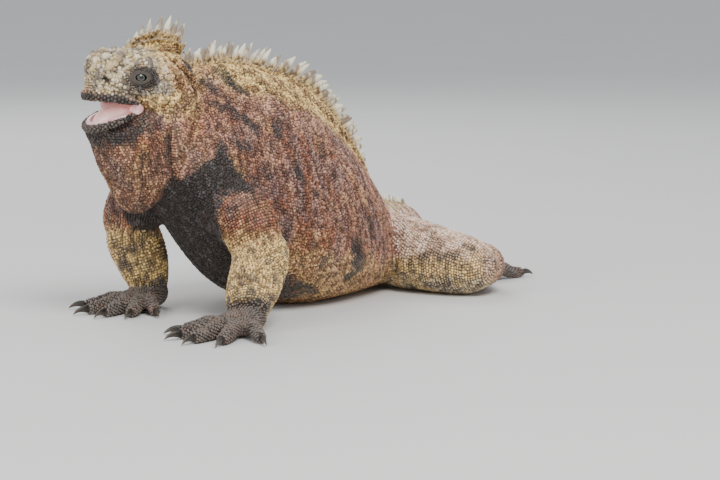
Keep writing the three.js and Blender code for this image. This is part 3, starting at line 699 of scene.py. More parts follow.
points, normals = coordinates(skin.data), normals_of(skin.data)
bm = bmesh.new()
bm.from_mesh(skin.data)
whole_skin = BVHTree.FromBMesh(bm)
bm.free()
sunk = np.zeros(len(points))
for line, depth, wide in FOLDS:
    for side in (1, -1):
        track = smooth_curve(np.array(line) * MM, np.linspace(0, 1, 50))
        if side < 0:
            middle = np.interp(track[:, 0], *body.centres[:, :2].T)
            track[:, 1] = 2 * middle - track[:, 1]
        track = np.array([whole_skin.find_nearest(Vector(p))[0] for p in track])
        fade = np.sin(np.linspace(0.12, math.pi - 0.12, len(track))) ** 0.5
        room = np.ptp(track, axis=0) / 2 + 4 * wide * MM
        close = np.nonzero((np.abs(points - track.mean(0)) < room).all(1))[0]
        apart = np.linalg.norm(points[close, None] - track[None], axis=2)
        nearest = apart.argmin(1)
        away = apart[np.arange(len(close)), nearest] / (wide * MM)
        profile = np.exp(-(away**2) * 1.4) - 0.42 * np.exp(-(((away - 1.6) / 0.7) ** 2))
        sunk[close] = np.maximum(sunk[close], 0) + depth * fade[nearest] * profile
shifted = points - normals * sunk[:, None] * MM
skin.data.vertices.foreach_set("co", shifted.ravel())
skin.data.update()
print("folds, deepest", round(float(sunk.max()), 2), "mm")

# %% Flats on the floor, and a clean surface
bm = bmesh.new()
bm.from_mesh(skin.data)
whole = bm.verts[:] + bm.edges[:] + bm.faces[:]
bmesh.ops.bisect_plane(bm, geom=whole, plane_co=(0, 0, FLAT_LEVEL), plane_no=(0, 0, -1), clear_outer=True)
bmesh.ops.holes_fill(bm, edges=[e for e in bm.edges if e.is_boundary], sides=0)
bmesh.ops.recalc_face_normals(bm, faces=bm.faces)
bm.to_mesh(skin.data)
skin_tree = BVHTree.FromBMesh(bm)
bm.free()
print("skin", len(skin.data.polygons), "faces on its flats")

# %% [markdown]
# ## Where the colours lie
#
# The animal is rust red on the flanks, gold along the back and on the forearms, cream on the knobs of the
# face, and charcoal on shoulders, lips, hands and feet. Each place of each form gets seven shares: gold,
# dark, cream, blotches, speckle, mouth and flush, a pinkish cream. What has no share is rust. Skin and scales
# both read them, so that they carry one pattern. The larger blotches are listed by place, because they are
# what makes this animal itself.

# %% Blotches: x, y, z of the middle in mm, half length along the flank, half height, slant, strength
BLOTCHES = [
    (103, 48, 116, 7.5, 8.5, 0.3, 0.75),
    (71, 55, 114, 4.5, 9, 0.3, 0.85),
    (69, 58, 105, 4.5, 5, 0.2, 0.6),
    (57, 61, 97, 3, 8, 0.2, 0.75),
    (93, 58, 73, 9, 7, 0.2, 0.8),
    (71, 64, 78, 7, 5, 0.2, 0.6),
    (65, 66, 57, 8, 5.5, 0, 0.7),
    (52, 63, 41, 6, 5.5, 0, 0.8),
    (10, 67, 50, 10, 10, 0.3, 0.95),
    (2, 66, 36, 13, 10, 0.3, 1.0),
    (-19, 63, 60, 9, 12, 0.3, 0.9),
    (10, 58, 24, 9, 6, 0.2, 0.85),
    (-50, 47, 18, 4, 7, 0, 0.8),
    (-66, 50, 29, 3.5, 11, 0.1, 0.65),
    (-40, 58, 46, 5, 8, 0.2, 0.55),
    (10, 57, 99, 5, 5, 0.3, 0.4),
    (35, 62, 86, 5, 6, 0.2, 0.45),
    (100, 53, 99, 6, 7, 0.2, 0.55),
    (124, 13, 180, 6, 11, 0.9, 0.9),
    (104, 15, 184, 6.5, 11, 0.8, 0.95),
    (105, 7, 192, 6, 5, 0.3, 0.85),
    (122, 20, 164, 6, 9, 0.9, 0.8),
    (108, 30, 156, 6, 13, 0.8, 0.8),
    (96, 38, 140, 6, 11, 0.6, 0.75),
    (118, 34, 138, 8, 7, 0.6, 0.85),
    (81, 41, 147, 5, 11, 0.5, 0.7),
    (62, 31, 166, 13, 3, -0.35, 0.65),
    (141, 5, 195, 7, 8, 0.6, 0.85),
    (148, 12, 172, 4, 12, 0.5, 0.5),
    (167, 10, 167, 5, 10, 0.2, 0.55),
    (-84, 34, 60, 7, 7, 0.2, 0.35),
]
SHIFT_ON_THE_RIGHT = 14


def mid_y(x):
    """The y of the middle of the trunk at x, in mm."""
    return np.interp(x, *(body.centres[:, :2].T / MM))


def blotches_at(p):
    """How dark the listed blotches make points given in mm. On the right they are set further back."""
    dark = np.zeros(len(p))
    left = p[:, 1] > mid_y(p[:, 0])
    for x, y, z, long, high, slant, strength in BLOTCHES:
        for side in (1, -1):
            middle = x - (0 if side > 0 else SHIFT_ON_THE_RIGHT)
            far = (p[:, 0] - middle - slant * (p[:, 2] - z)) / long
            away = np.hypot(far, (p[:, 2] - z) / high)
            dark = np.maximum(dark, strength * (1 - smoothstep(away, 0.6, 1.5)) * (left == (side > 0)))
    return dark


def shoulder_at(p):
    """The charcoal patch that starts as a point behind the neck and widens down over shoulder and chest."""
    drop = 136 - p[:, 2]
    front, rear = drop - 0.81 * (p[:, 0] - 136), p[:, 0] - 136 + 0.43 * drop
    aside = np.abs(p[:, 1] - mid_y(p[:, 0]))
    on_arm = smoothstep(aside, 44, 55) * (1 - smoothstep(p[:, 2], 92, 106))
    return 1.2 * smoothstep(np.minimum(front, rear), -12, 8) * (1 - on_arm)


# %% Shares of colour
def shares(count, gold=0.0, dark=0.0, cream=0.0, blotch=0.0, speckle=0.2, flush=0.0):
    """Rows of seven shares. The sixth, mouth, is 0, because only the skin has any, and it is set there."""
    mouth = 0.0
    columns = (gold, dark, cream, blotch, speckle, mouth, flush)
    return np.stack([np.broadcast_to(np.asarray(v, float), (count,)) for v in columns], 1).clip(0, 1)


def turn_of(angle):
    """The angle from straight up, without its side."""
    return np.abs((angle + math.pi) % (2 * math.pi) - math.pi)


def paint_body(t, angle):
    station, turn = t * BODY_STATIONS, turn_of(angle)
    p = body.at(t, angle) / MM
    on_trunk = smoothstep(station, 12, 15)
    near_trunk = smoothstep(station, 9.5, 12.5)
    in_front = smoothstep(station, 20.6, 22.2)
    ridge = (1 - smoothstep(turn, 0.42, 1.0)) * (1 - 0.45 * in_front)
    under_ridge = band(turn, 0.45, 0.8, 0.95, 1.5) * on_trunk * (1 - in_front)
    chest = smoothstep(station, 20.2, 21.2) * smoothstep(turn, 1.65, 2.1) * (1 - smoothstep(p[:, 2], 96, 112))
    belly = smoothstep(turn, 1.75, 2.1) * (1 - smoothstep(station, 20.2, 21.2))
    low_belly = smoothstep(turn, 2.2, 2.6) * smoothstep(station, 18.5, 20.5)
    rump = band(station, 11, 13, 15.8, 17) * (1 - smoothstep(turn, 1.3, 1.8))
    neck = smoothstep(station, 22, 23) * (1 - smoothstep(turn, 1.9, 2.4))
    shoulder, tail_dark = shoulder_at(p) * in_front, 0.5 * (1 - near_trunk)
    clear = (1 - 0.75 * ridge) * (1 - 0.8 * rump) * (1 - 0.9 * belly) * (1 - 0.4 * neck)
    return shares(
        len(t),
        gold=ridge * (0.3 + 0.7 * on_trunk) + 0.55 * belly + 0.35 * neck,
        dark=np.maximum.reduce([shoulder, chest, low_belly, tail_dark, 0.76 * blotches_at(p)]),
        cream=0.3 * belly + 0.25 * ridge * on_trunk + 0.4 * rump,
        blotch=on_trunk * clear + 0.5 * (1 - on_trunk),
        speckle=0.3 + 0.2 * (1 - on_trunk),
        flush=0.85 * rump + 0.32 * under_ridge + 0.12,
    )


def paint_ridge(t, angle):
    side = smoothstep(turn_of(angle), 0.9, 1.6)
    return shares(len(t), gold=0.95 - 0.3 * side, cream=0.2, blotch=0.3, speckle=0.4, flush=0.4 * side)


def jaw_shares(p):
    """Dark share of chin, jaw and throat, from points in mm: darkest along the lip and on the chin."""
    x, _, z = (moved(p * MM, jaw_matrix.inverted()) / MM).T
    below = smoothstep(-z, -4, 4) * (1 - smoothstep(-z, 10, 24))
    return below * smoothstep(x, -6, 16) * (0.62 + 0.25 * smoothstep(x, 20, 40))


def paint_head(t, angle):
    world = head.at(t, angle)
    p = moved(world, head_matrix.inverted()) / MM
    x, y, z = p[:, 0], np.abs(p[:, 1]), p[:, 2]
    knobs = smoothstep(x, 0, 16) * smoothstep(z, -6, 4)
    orbit = 1 - smoothstep(np.hypot((x - EYE[0] + 1.5) * 0.8, z - EYE[2]) + 30 * (y < 18), 7, 12.5)
    under_eye = band(x, 14, 20, 36, 42) * band(z, -5, -1, 3, 8)
    lips = smoothstep(x, 22, 32) * (1 - smoothstep(z, -1.5, 3))
    cheek = band(x, 0, 8, 34, 42) * band(z, -12, -7, -3, 2)
    nape = smoothstep(z, 22, 30) * (1 - smoothstep(x, 16, 30))
    # The nostril's pit and rim are painted dark: painted shade in the opening.
    nostril = 1 - smoothstep(np.hypot(x - NOSTRIL[0], z - NOSTRIL[2]) + 30 * (y < 8), 2.4, 4.4)
    rear = 1 - smoothstep(x, -4, 10)
    under = jaw_shares(world / MM) * (1 - smoothstep(z, -14, -9))
    blotches = 0.9 * blotches_at(world / MM)
    dark = np.maximum.reduce([orbit, 0.8 * lips, 0.5 * under_eye, 0.9 * nostril, blotches, under])
    return shares(
        len(t),
        gold=0.62 + 1.0 * cheek + 0.7 * nape - 0.1 * rear,
        dark=dark * (1 - cheek),
        cream=knobs * (1 - 0.5 * nape) * (1 - 0.85 * orbit),
        blotch=0.6 * rear,
        speckle=0.3 * (1 - knobs) + 0.2,
        flush=0.25 * rear,
    )


def paint_jaw(t, angle):
    world = jaw.at(t, angle) / MM
    dark = np.maximum(jaw_shares(world), 0.25)
    return shares(len(t), gold=0.32, dark=dark, cream=0.24, blotch=0.8, speckle=0.6)


def paint_throat(t, angle):
    world = throat.at(t, angle) / MM
    low = 0.5 * smoothstep(-t, -0.2, -0.03)
    # The rear sides of the throat, behind its fold, get 0.35 more dark: painted shade in the crease. The rest
    # of the dark is colour.
    dark = np.maximum.reduce([jaw_shares(world), 0.3 + 0.35 * smoothstep(turn_of(angle), 1.9, 2.6), low])
    return shares(len(t), gold=0.32, dark=dark, blotch=0.95, speckle=0.7)


def paint_limb(name):
    form = limbs[name]
    arm, upper = "arm" in name, name.startswith(("upper", "thigh"))

    def paint(t, angle):
        x, y, z = form.at(t, angle).T / MM
        turn = turn_of(angle)
        if arm and upper:
            aside = np.abs(y - mid_y(x))
            top = smoothstep(z, 94, 108) * (1 - smoothstep(aside, 56, 70))
            root = np.maximum(top, 1 - smoothstep(aside, 42, 55))
            low = smoothstep(-z, -82, -56)
            # The right upper arm, on the far side, is painted 0.35 dark throughout: painted shade.
            dark = np.maximum(root, 0.35 if name.endswith("right") else 0.0)
            return shares(len(t), gold=0.25 + 0.5 * low, dark=dark, cream=0.2 * low, blotch=0.75, speckle=0.4)
        if arm:
            wrist = smoothstep(t, 0.74, 1)
            # The right forearm is painted 0.3 darker: painted shade on the far side.
            dark = 0.62 * wrist + (0.3 if name.endswith("right") else 0.0)
            return shares(len(t), gold=0.85, dark=dark, cream=0.42 + 0.1 * wrist, blotch=0.3, speckle=0.5)
        if upper:
            knee = smoothstep(t, 0.62, 0.95)
            top = smoothstep(z, 24, 44) * (1 - knee)
            front = smoothstep(x, -96, -78) * (1 - top)
            low = 1 - smoothstep(z, 8, 24)
            return shares(
                len(t),
                gold=0.3 + 0.5 * front + 0.3 * low,
                dark=0.4 * knee,
                cream=0.46 + 0.3 * low,
                blotch=0.05 + 0.4 * knee,
                speckle=0.15,
                flush=0.7 + 0.3 * top - 0.3 * low,
            )
        wrist = smoothstep(t, 0.45, 0.85)
        flush = 0.1 + 0.1 * (turn < 1)
        return shares(len(t), gold=0.4, dark=0.8 * wrist, cream=0.3, speckle=0.4, flush=flush)

    return paint


def paint_digit(t, angle):
    return shares(len(t), gold=0.15, dark=0.85, cream=0.45, speckle=0.15)


def paint_upper_lip(t, angle):
    """Dark along the edge of the mouth; its tall upper half already has the colours of the face."""
    face = 1 - smoothstep(turn_of(angle), 0.55, 1.3)
    return shares(len(t), gold=0.3, dark=0.9 - 0.75 * face, cream=0.25 + 0.55 * face, speckle=0.15)


def paint_lower_lip(t, angle):
    return shares(len(t), gold=0.15, dark=0.88, cream=0.35, speckle=0.15)


# %% [markdown]
# ## Seeds of scales
#
# A lizard's scales stand in rows round and along each form, like bricks: every second row is shifted by half
# a scale. A seed is one place for one scale. Seeds are laid out on the forms, moved onto the skin, and
# dropped where another form covers them or where an earlier seed is too close.


# %% Rows of seeds
def rows_of_seeds(form, spacing, along=(0.0, 1.0), around=(-180.0, 180.0), row=0.88, jitter=0.1):
    """Staggered rows over part of a form: t and angle of each seed."""
    fine = np.linspace(*along, 240)
    turns = np.radians(np.linspace(around[0], around[1], 9))
    lines = form.at(fine[:, None], turns[None, :])
    length = np.concatenate([[0], np.cumsum(np.linalg.norm(np.diff(lines, axis=0), axis=2).mean(1))])
    count = max(2, int(length[-1] / (spacing * row)))
    ts = np.interp((np.arange(count) + 0.5) / count * length[-1], length, fine)
    turns = np.radians(np.linspace(around[0], around[1], 97))
    rings = form.at(ts[:, None], turns[None, :])
    lengths = np.linalg.norm(np.diff(rings, axis=1), axis=2)
    arcs = np.concatenate([np.zeros((count, 1)), np.cumsum(lengths, 1)], 1)
    found_t, found_angle = [], []
    for k in range(count):
        number = int(arcs[k, -1] / spacing)
        if number < 3:
            continue
        place = (np.arange(number) + 0.25 + 0.5 * (k % 2)) / number * arcs[k, -1]
        place = place + luck.normal(0, jitter * 0.5, number) * spacing
        found_angle.append(np.interp(place, arcs[k], turns))
        found_t.append(np.full(number, ts[k]))
    t, angle = np.concatenate(found_t), np.concatenate(found_angle)
    slope = (along[1] - along[0]) / count
    return np.clip(t + luck.normal(0, jitter * 0.5, len(t)) * slope, 0, 1), angle


seeds = []
CORNER = {"place": (35, 26.6, -10.5), "radii": (6.5, 1.5, 4.4), "turn": 12}


def on_corner(points):
    """True for points that lie on the soft tissue in a corner of the mouth."""
    x, y, z = (moved(points, head_matrix.inverted()) / MM).T
    corner_x, corner_y, corner_z = CORNER["place"]
    long, _, high = CORNER["radii"]
    away = np.hypot((x - corner_x) / long, (z - corner_z) / high)
    return (away < 1) & (np.abs(y) > corner_y - 4)


def add_seeds(
    coat, form, paint, shape, t, angle, size, height, spacing, reach=3.4 * MM, rough=0.0, zone=None
):
    """Adds seeds at places of a form. zone says, from points in the head's frame in mm, which to keep."""
    if zone is not None:
        inside = zone(*(moved(form.at(t, angle), head_matrix.inverted()).T / MM))
        t, angle, size, height = t[inside], angle[inside], size[inside], height[inside]
    normal, along = form.directions(t, angle)
    if rough:
        along = unit(along + luck.normal(0, 1.5, along.shape))
    uv = np.stack([t, (angle / (2 * math.pi)) % 1.0], 1)
    group = {"place": form.at(t, angle), "normal": normal, "along": along, "size": size, "height": height}
    group |= {"share": paint(t, angle), "uv": uv, "coat": coat, "shape": shape}
    seeds.append(group | {"spacing": spacing, "reach": reach, "rough": rough})


def sow(coat, form, paint, spacing, shape, size=1.0, height=1.0, vary=0.12, rough=0.0, zone=None, **where):
    """Covers part of a form with seeds in rows. coat names the piece that the scales will belong to."""
    spacing = spacing * MM
    t, angle = rows_of_seeds(form, spacing, **where)
    size = spacing * size * (1 + luck.normal(0, vary, len(t)).clip(-2 * vary, 2 * vary))
    height = spacing * height * (1 + luck.normal(0, vary, len(t)).clip(-2 * vary, 2 * vary))
    add_seeds(coat, form, paint, shape, t, angle, size, height, spacing, rough=rough, zone=zone)


# %% Seeds of the head: big knobs first, then what fits between them
KNOB_ROWS = [
    (61.4, [-30, 30], 2.9, 2.6),
    (58.5, [-54, -20, 20, 54], 3.7, 3.4),
    (53, [-66, -34, 0, 34, 66], 4.0, 3.4),
    (46.5, [-48, -17, 17, 48], 3.9, 3.2),
    (39.5, [-34, 0, 34], 3.8, 2.6),
    (32.5, [-44, -15, 15, 44], 3.4, 2.2),
    (24, [-60, -30, 30, 60], 3.2, 1.9),
    (14, [-64, -38, 38, 64], 3.0, 1.8),
    (4, [-66, -40, 40, 66], 2.8, 1.6),
]


def t_at(form, x):
    """The t at which a head form reaches x in mm."""
    fine = np.linspace(0, 1, 600)
    return np.interp(x, smooth_curve(form.centres, fine)[:, 0] / MM, fine)


def near_eye(x, y, z):
    return (np.hypot((x - EYE[0] + 1.5) * 0.85, z - EYE[2]) < 10.5) & (np.abs(y) > 17)


def in_cheek_band(x, y, z):
    return (x > 2) & (x < 40) & (z > -9) & (z < -1.5) & (np.abs(y) > 17)


def rest_of_face(x, y, z):
    return ~near_eye(x, y, z) & ~in_cheek_band(x, y, z)


knob_t = np.concatenate([np.full(len(a), t_at(head, x)) for x, a, _, _ in KNOB_ROWS])
knob_angle = np.radians(np.concatenate([a for _, a, _, _ in KNOB_ROWS]).astype(float))
knob_angle = knob_angle + luck.normal(0, 0.05, len(knob_angle))
knob_radius = np.concatenate([np.full(len(a), r) for _, a, r, _ in KNOB_ROWS])
knob_height = np.concatenate([np.full(len(a), h) for _, a, _, h in KNOB_ROWS])
add_seeds(
    "scales_head",
    head,
    paint_head,
    "scute",
    knob_t,
    knob_angle,
    2 * MM * knob_radius * luck.uniform(0.88, 1.12, len(knob_t)),
    MM * knob_height * luck.uniform(0.7, 1.1, len(knob_t)),
    spacing=7 * MM,
    reach=5 * MM,
    rough=0.07,
    zone=lambda x, y, z: ~near_eye(x, y, z),
)
FACE = (t_at(head, 20), 1.0)
CROWN = (t_at(head, -4), t_at(head, 22))
CHEEK = (0.0, t_at(head, 22))
NOSTRIL_RING = np.linspace(0, 2 * math.pi, 9)[:-1]
for side in (1, -1):
    ring_x = NOSTRIL[0] + 3.7 * np.cos(NOSTRIL_RING)
    ring_t = t_at(head, ring_x)
    high = smooth_curve(head.sizes, ring_t)[:, 1] / MM
    level = (NOSTRIL[2] + 3.4 * np.sin(NOSTRIL_RING) - smooth_curve(head.centres, ring_t)[:, 2] / MM) / high
    ring_angle = side * np.arccos(np.sign(level) * np.abs(level) ** (head.square / 2))
    ring_size = np.full(8, 2.9 * MM) * luck.uniform(0.85, 1.15, 8)
    ring = (ring_t, ring_angle, ring_size, ring_size * 0.6)
    add_seeds("scales_head", head, paint_head, "knob", *ring, 2.6 * MM, rough=0.05)
sow("scales_head", upper_lip, paint_upper_lip, 2.9, "bead", size=1.1, height=0.4, vary=0.1)
sow("scales_head", lower_lip, paint_lower_lip, 2.8, "bead", size=1.1, height=0.4, vary=0.1)
COARSE = {"vary": 0.28, "rough": 0.08, "jitter": 0.45, "zone": rest_of_face}
ORBIT = {"vary": 0.15, "zone": near_eye, "jitter": 0.25}
BAND = {"vary": 0.2, "rough": 0.05, "zone": in_cheek_band, "jitter": 0.3}
LOOSE = {"vary": 0.2, "jitter": 0.34}
SCUTES = [(3.7, 1.12, 0.42, FACE, (-78, 78)), (3.0, 1.1, 0.4, FACE, (78, 125))]
SCUTES += [(3.0, 1.1, 0.4, FACE, (-125, -78)), (2.8, 1.1, 0.42, CROWN, (-100, 100))]
for spacing, size, height, along, around in SCUTES:
    sow("scales_head", head, paint_head, spacing, "scute", size, height, along=along, around=around, **COARSE)
along = (t_at(head, 12), t_at(head, 46))
sow("scales_head", head, paint_head, 1.75, "bead", size=1.1, height=0.42, along=along, **ORBIT)
along = (t_at(head, 0), t_at(head, 44))
sow("scales_head", head, paint_head, 3.1, "knob", size=1.1, height=0.5, along=along, **BAND)
sow("scales_cheek", head, paint_head, 2.3, "bead", size=1.08, height=0.4, along=CHEEK, vary=0.2, jitter=0.3)
sow("scales_cheek", jaw, paint_jaw, 2.3, "bead", size=1.08, height=0.4, **LOOSE)
sow("scales_cheek", throat, paint_throat, 2.15, "bead", size=1.08, height=0.36, along=(0.04, 1), **LOOSE)

# %% Seeds of the trunk, tail and limbs
FRONT, HIND = 19.5 / BODY_STATIONS, 14.5 / BODY_STATIONS
MIDDLE, SHOULDER = 17 / BODY_STATIONS, 22.2 / BODY_STATIONS
TAIL_HALF = 8 / BODY_STATIONS
TAIL_START = 0.012
BEADS = {"size": 1.08, "height": 0.34, **LOOSE}
KEELS = {"size": 1.12, "height": 0.42, "jitter": 0.05}
SIDES, UNDERSIDE = (-128, 128), (128, 232)
sow("scales_neck", body, paint_body, 2.3, "bead", along=(SHOULDER, 0.995), **BEADS)
sow("scales_chest", body, paint_body, 2.3, "bead", along=(FRONT, SHOULDER), **BEADS)
sow("scales_flank", body, paint_body, 2.35, "bead", along=(MIDDLE, FRONT), around=SIDES, **BEADS)
sow("scales_loin", body, paint_body, 2.35, "bead", along=(HIND, MIDDLE), around=SIDES, **BEADS)
sow("scales_loin", back_ridge, paint_ridge, 2.4, "bead", around=(-100, 100), **BEADS)
sow("scales_belly", body, paint_body, 3.2, "bead", 1.08, 0.22, along=(HIND, FRONT), around=UNDERSIDE)
sow("scales_tail", body, paint_body, 3.0, "keel", along=(TAIL_HALF, HIND), **KEELS)
sow("scales_tail", body, paint_body, 2.8, "keel", along=(TAIL_START, TAIL_HALF), **KEELS)
for name, form in limbs.items():
    spacing = 2.3 if "arm" in name else 2.45
    sow(f"scales_{name}", form, paint_limb(name), spacing, "bead", 1.04, 0.42, vary=0.16, jitter=0.18)
for name, (pad, toes, _) in paws.items():
    sow(f"scales_{name}", pad, paint_digit, 2.3, "bead", size=1.05, height=0.42)
    for toe in toes:
        plates = {"around": (-75, 75), "row": 0.62, "jitter": 0.04}
        sow(f"scales_{name}", toe, paint_digit, 3.1, "plate", size=1.0, height=0.3, **plates)
        sow(f"scales_{name}", toe, paint_digit, 2.2, "bead", 1.08, 0.42, around=(75, 285), jitter=0.05)
print("seeds laid out:", sum(len(s["place"]) for s in seeds))

# %% Seeds moved onto the skin, hidden and crowded ones dropped
FACING = 0.35
CROWDING = 0.31
FLOOR_MARGIN = 1.2 * MM
CELL = 3.0 * MM
total = sum(len(s["place"]) for s in seeds)
taken = {}
NEAR = [(dx, dy, dz) for dx in (-1, 0, 1) for dy in (-1, 0, 1) for dz in (-1, 0, 1)]


def cell_of(spot):
    return tuple(int(v // CELL) for v in spot)


def crowded(spot, cell, distance):
    """True where a kept seed is nearer than distance. Kept seeds are looked up by their cell of space."""
    for dx, dy, dz in NEAR:
        for other, room in taken.get((cell[0] + dx, cell[1] + dy, cell[2] + dz), ()):
            if math.dist(spot, other) < max(distance, room):
                return True
    return False


for group in seeds:
    kept = []
    places, normals = group["place"], group["normal"]
    in_mouth = (mouth_at(places) > 0.5) | on_corner(places)
    room = CROWDING * group["spacing"]
    for i in np.nonzero(~in_mouth)[0]:
        hit, normal, _, distance = skin_tree.find_nearest(Vector(places[i]), group["reach"])
        if hit is None or normal.dot(Vector(normals[i])) < FACING or hit.z < FLOOR_MARGIN:
            continue
        spot = tuple(hit)
        cell = cell_of(spot)
        if crowded(spot, cell, room):
            continue
        taken.setdefault(cell, []).append((spot, room))
        places[i] = spot
        normals[i] = normals[i] * 0.4 + np.array(normal) * 0.6
        kept.append(i)
    for key in ("place", "normal", "along", "size", "height", "share", "uv"):
        group[key] = group[key][kept]
print("seeds kept:", sum(len(s["place"]) for s in seeds), "of", total)

# %% More seeds where the skin would show bare: at joins of forms, on the nape and in folds
FILL_GAP = 1.75 * MM
FILL_SIZE = 2.3 * MM
seeds = [group for group in seeds if len(group["place"])]
owner = np.concatenate([np.full(len(g["place"]), k) for k, g in enumerate(seeds)])
local = np.concatenate([np.arange(len(g["place"])) for g in seeds])
near_seeds = KDTree(len(owner))
for i, place in enumerate(np.concatenate([g["place"] for g in seeds])):
    near_seeds.insert(place, i)
near_seeds.balance()
points, normals = coordinates(skin.data), normals_of(skin.data)
skin_mouth = mouth_at(points)
free = (skin_mouth < 0.3) & (points[:, 2] > FLOOR_MARGIN) & ~on_corner(points)
for side in (1, -1):
    for place, wide in ((EYE, 8.0), (NOSTRIL, 2.6), (EAR, 3.2)):
        middle = head_matrix @ (Vector((place[0], side * place[1], place[2])) * MM)
        free &= np.linalg.norm(points - np.array(middle), axis=1) > wide * MM
fillers = {}
for i in np.nonzero(free)[0]:
    spot = tuple(points[i])
    cell = cell_of(spot)
    if crowded(spot, cell, FILL_GAP):
        continue
    taken.setdefault(cell, []).append((spot, FILL_GAP * 0.5))
    like = near_seeds.find(spot)[1]
    fillers.setdefault(owner[like], []).append((i, local[like]))
for k, found in fillers.items():
    group = seeds[k]
    at, like = np.array(found).T
    size = FILL_SIZE * luck.uniform(0.85, 1.2, len(at))
    added = {"place": points[at], "normal": normals[at], "along": group["along"][like], "size": size}
    added |= {"height": size * 0.42, "share": group["share"][like], "uv": group["uv"][like]}
    for key, values in added.items():
        group[key] = np.concatenate([group[key], values])
print("seeds added:", sum(len(found) for found in fillers.values()))

# %% Shares painted onto the skin, from the seeds that lie nearest
every_place = np.concatenate([s["place"] for s in seeds])
every_share = np.concatenate([s["share"] for s in seeds])
near_seeds = KDTree(len(every_place))
for i, place in enumerate(every_place):
    near_seeds.insert(place, i)
near_seeds.balance()


def store_shares(mesh, share, tone, rise):
    """What the hide material reads: seven shares, a tone of each scale's own, and height within a scale."""
    store(mesh, "coat", share[:, :3])
    store(mesh, "marks", share[:, 3:6])
    store(mesh, "flush", share[:, 6])
    store(mesh, "tone", tone)
    store(mesh, "rise", rise)


skin_share = np.array([every_share[[i for _, i, _ in near_seeds.find_n(p, 4)]].mean(0) for p in points])
skin_share[:, 5] = skin_mouth
# The skin gets rise 0, so the hide paints it darkest: painted shade between the scales.
store_shares(skin.data, skin_share, np.zeros(len(points)), np.zeros(len(points)))
print("skin painted")

# %% [markdown]
# ## Scales
#
# A scale is a tiny closed dome. Five shapes are enough: a bead for trunk and limbs, a keeled one for the
# tail, which leans back over its neighbour, a knob and a broader scute for the face, and a plate for the
# toes. Each could be an instance, but the export drops instances, so copies are joined into meshes of many
# thousands, one mesh for each region.
# region. Every scale keeps its own tone, so that neighbours differ a little, as real ones do.


# %% Shapes of scales
def scale_shape(rings, sides, lean=0.0, ridge=0.0, stretch=(1.0, 1.0)):
    """A dome of a few rings, each (height, radius). Lean moves its top back, and ridge lifts its middle."""
    bm = bmesh.new()
    (low, wide), *rest = rings
    made = bmesh.ops.create_circle(bm, cap_ends=True, segments=sides, radius=wide)
    for vertex in made["verts"]:
        vertex.co.z = low
    bottom = bm.faces[:]
    ring = bm.edges[:]
    for height, radius in rest:
        extruded = bmesh.ops.extrude_edge_only(bm, edges=ring)["geom"]
        ring = [g for g in extruded if isinstance(g, bmesh.types.BMEdge)]
        for vertex in [g for g in extruded if isinstance(g, bmesh.types.BMVert)]:
            flat = Vector(vertex.co[:2]).normalized() * radius
            vertex.co = (flat.x - lean * height, flat.y, height)
    top = bmesh.ops.contextual_create(bm, geom=ring)["faces"]
    for vertex in {v for f in top for v in f.verts}:
        vertex.co.z += ridge * (1 - min(1, abs(vertex.co.y) / 0.2))
    bmesh.ops.triangulate(bm, faces=bm.faces[:])
    bmesh.ops.recalc_face_normals(bm, faces=bm.faces)
    bm.verts.index_update()
    places = np.array([v.co[:] for v in bm.verts]) * (*stretch, 1)
    triangles = np.array([[v.index for v in f.verts] for f in bm.faces])
    bm.free()
    return places, triangles


SHAPES = {
    "bead": scale_shape([(-0.3, 0.53), (1.0, 0.31)], 6),
    "keel": scale_shape([(-0.3, 0.52), (1.0, 0.26)], 6, lean=0.25, ridge=0.1),
    "knob": scale_shape([(-0.35, 0.52), (0.3, 0.5), (0.72, 0.36), (1.0, 0.15)], 7),
    "scute": scale_shape([(-0.35, 0.56), (0.35, 0.5), (0.8, 0.3), (1.0, 0.12)], 6),
    "plate": scale_shape([(-0.3, 0.56), (0.6, 0.5), (1.0, 0.3)], 8, stretch=(0.62, 1.0)),
}
PATCH = 0.003


def frames_of(normal, along):
    """Forward, left and up directions for things that stand on a surface."""
    up = unit(normal)
    left = unit(np.cross(up, along))
    return np.stack([np.cross(left, up), left, up], 2)


def scales_mesh(name, groups):
    """All scales of one piece as a single mesh, with its bake map and its shares."""
    all_places, all_faces, all_uv, all_share, all_tone, all_rise = [], [], [], [], [], []
    cells = math.ceil(math.sqrt(len(groups)))
    start = 0
    for number, group in enumerate(groups):
        shape, faces = SHAPES[group["shape"]]
        count = len(group["place"])
        turned = frames_of(group["normal"], group["along"])
        uneven = shape[None] + luck.normal(0, 1, (count, *shape.shape)) * group["rough"]
        sized = uneven * np.stack([group["size"], group["size"], group["height"]], 1)[:, None, :]
        places = np.einsum("nij,nkj->nki", turned, sized) + group["place"][:, None, :]
        corner = np.array([number % cells, number // cells])
        uv = (corner + 0.01 + 0.98 * group["uv"]) / cells
        uv = np.clip(uv[:, None, :] + shape[None, :, :2] * PATCH, 0, 1)
        all_places.append(places.reshape(-1, 3))
        first = start + len(shape) * np.arange(count)[:, None, None]
        all_faces.append((faces[None] + first).reshape(-1, 3))
        all_uv.append(uv.reshape(-1, 2))
        all_share.append(np.repeat(group["share"], len(shape), axis=0))
        all_tone.append(np.repeat(luck.uniform(-1, 1, count), len(shape)))
        all_rise.append(np.tile(np.clip(shape[:, 2], 0, 1), count))
        start += count * len(shape)
    places, faces, uv = np.concatenate(all_places), np.concatenate(all_faces), np.concatenate(all_uv)
    mesh = bpy.data.meshes.new(name)
    mesh.from_pydata(places.tolist(), [], faces.tolist())
    layer = mesh.uv_layers.new(name="OFBake")
    layer.data.foreach_set("uv", uv[faces.ravel()].astype(np.float32).ravel())
    store_shares(mesh, np.concatenate(all_share), np.concatenate(all_tone), np.concatenate(all_rise))
    return new_object(name, mesh)


coats = {}
for group in seeds:
    if len(group["place"]):
        coats.setdefault(group["coat"], []).append(group)
coats = {name: scales_mesh(name, groups) for name, groups in coats.items()}
faces_of = {name: len(obj.data.polygons) for name, obj in coats.items()}
print(faces_of, sum(faces_of.values()))

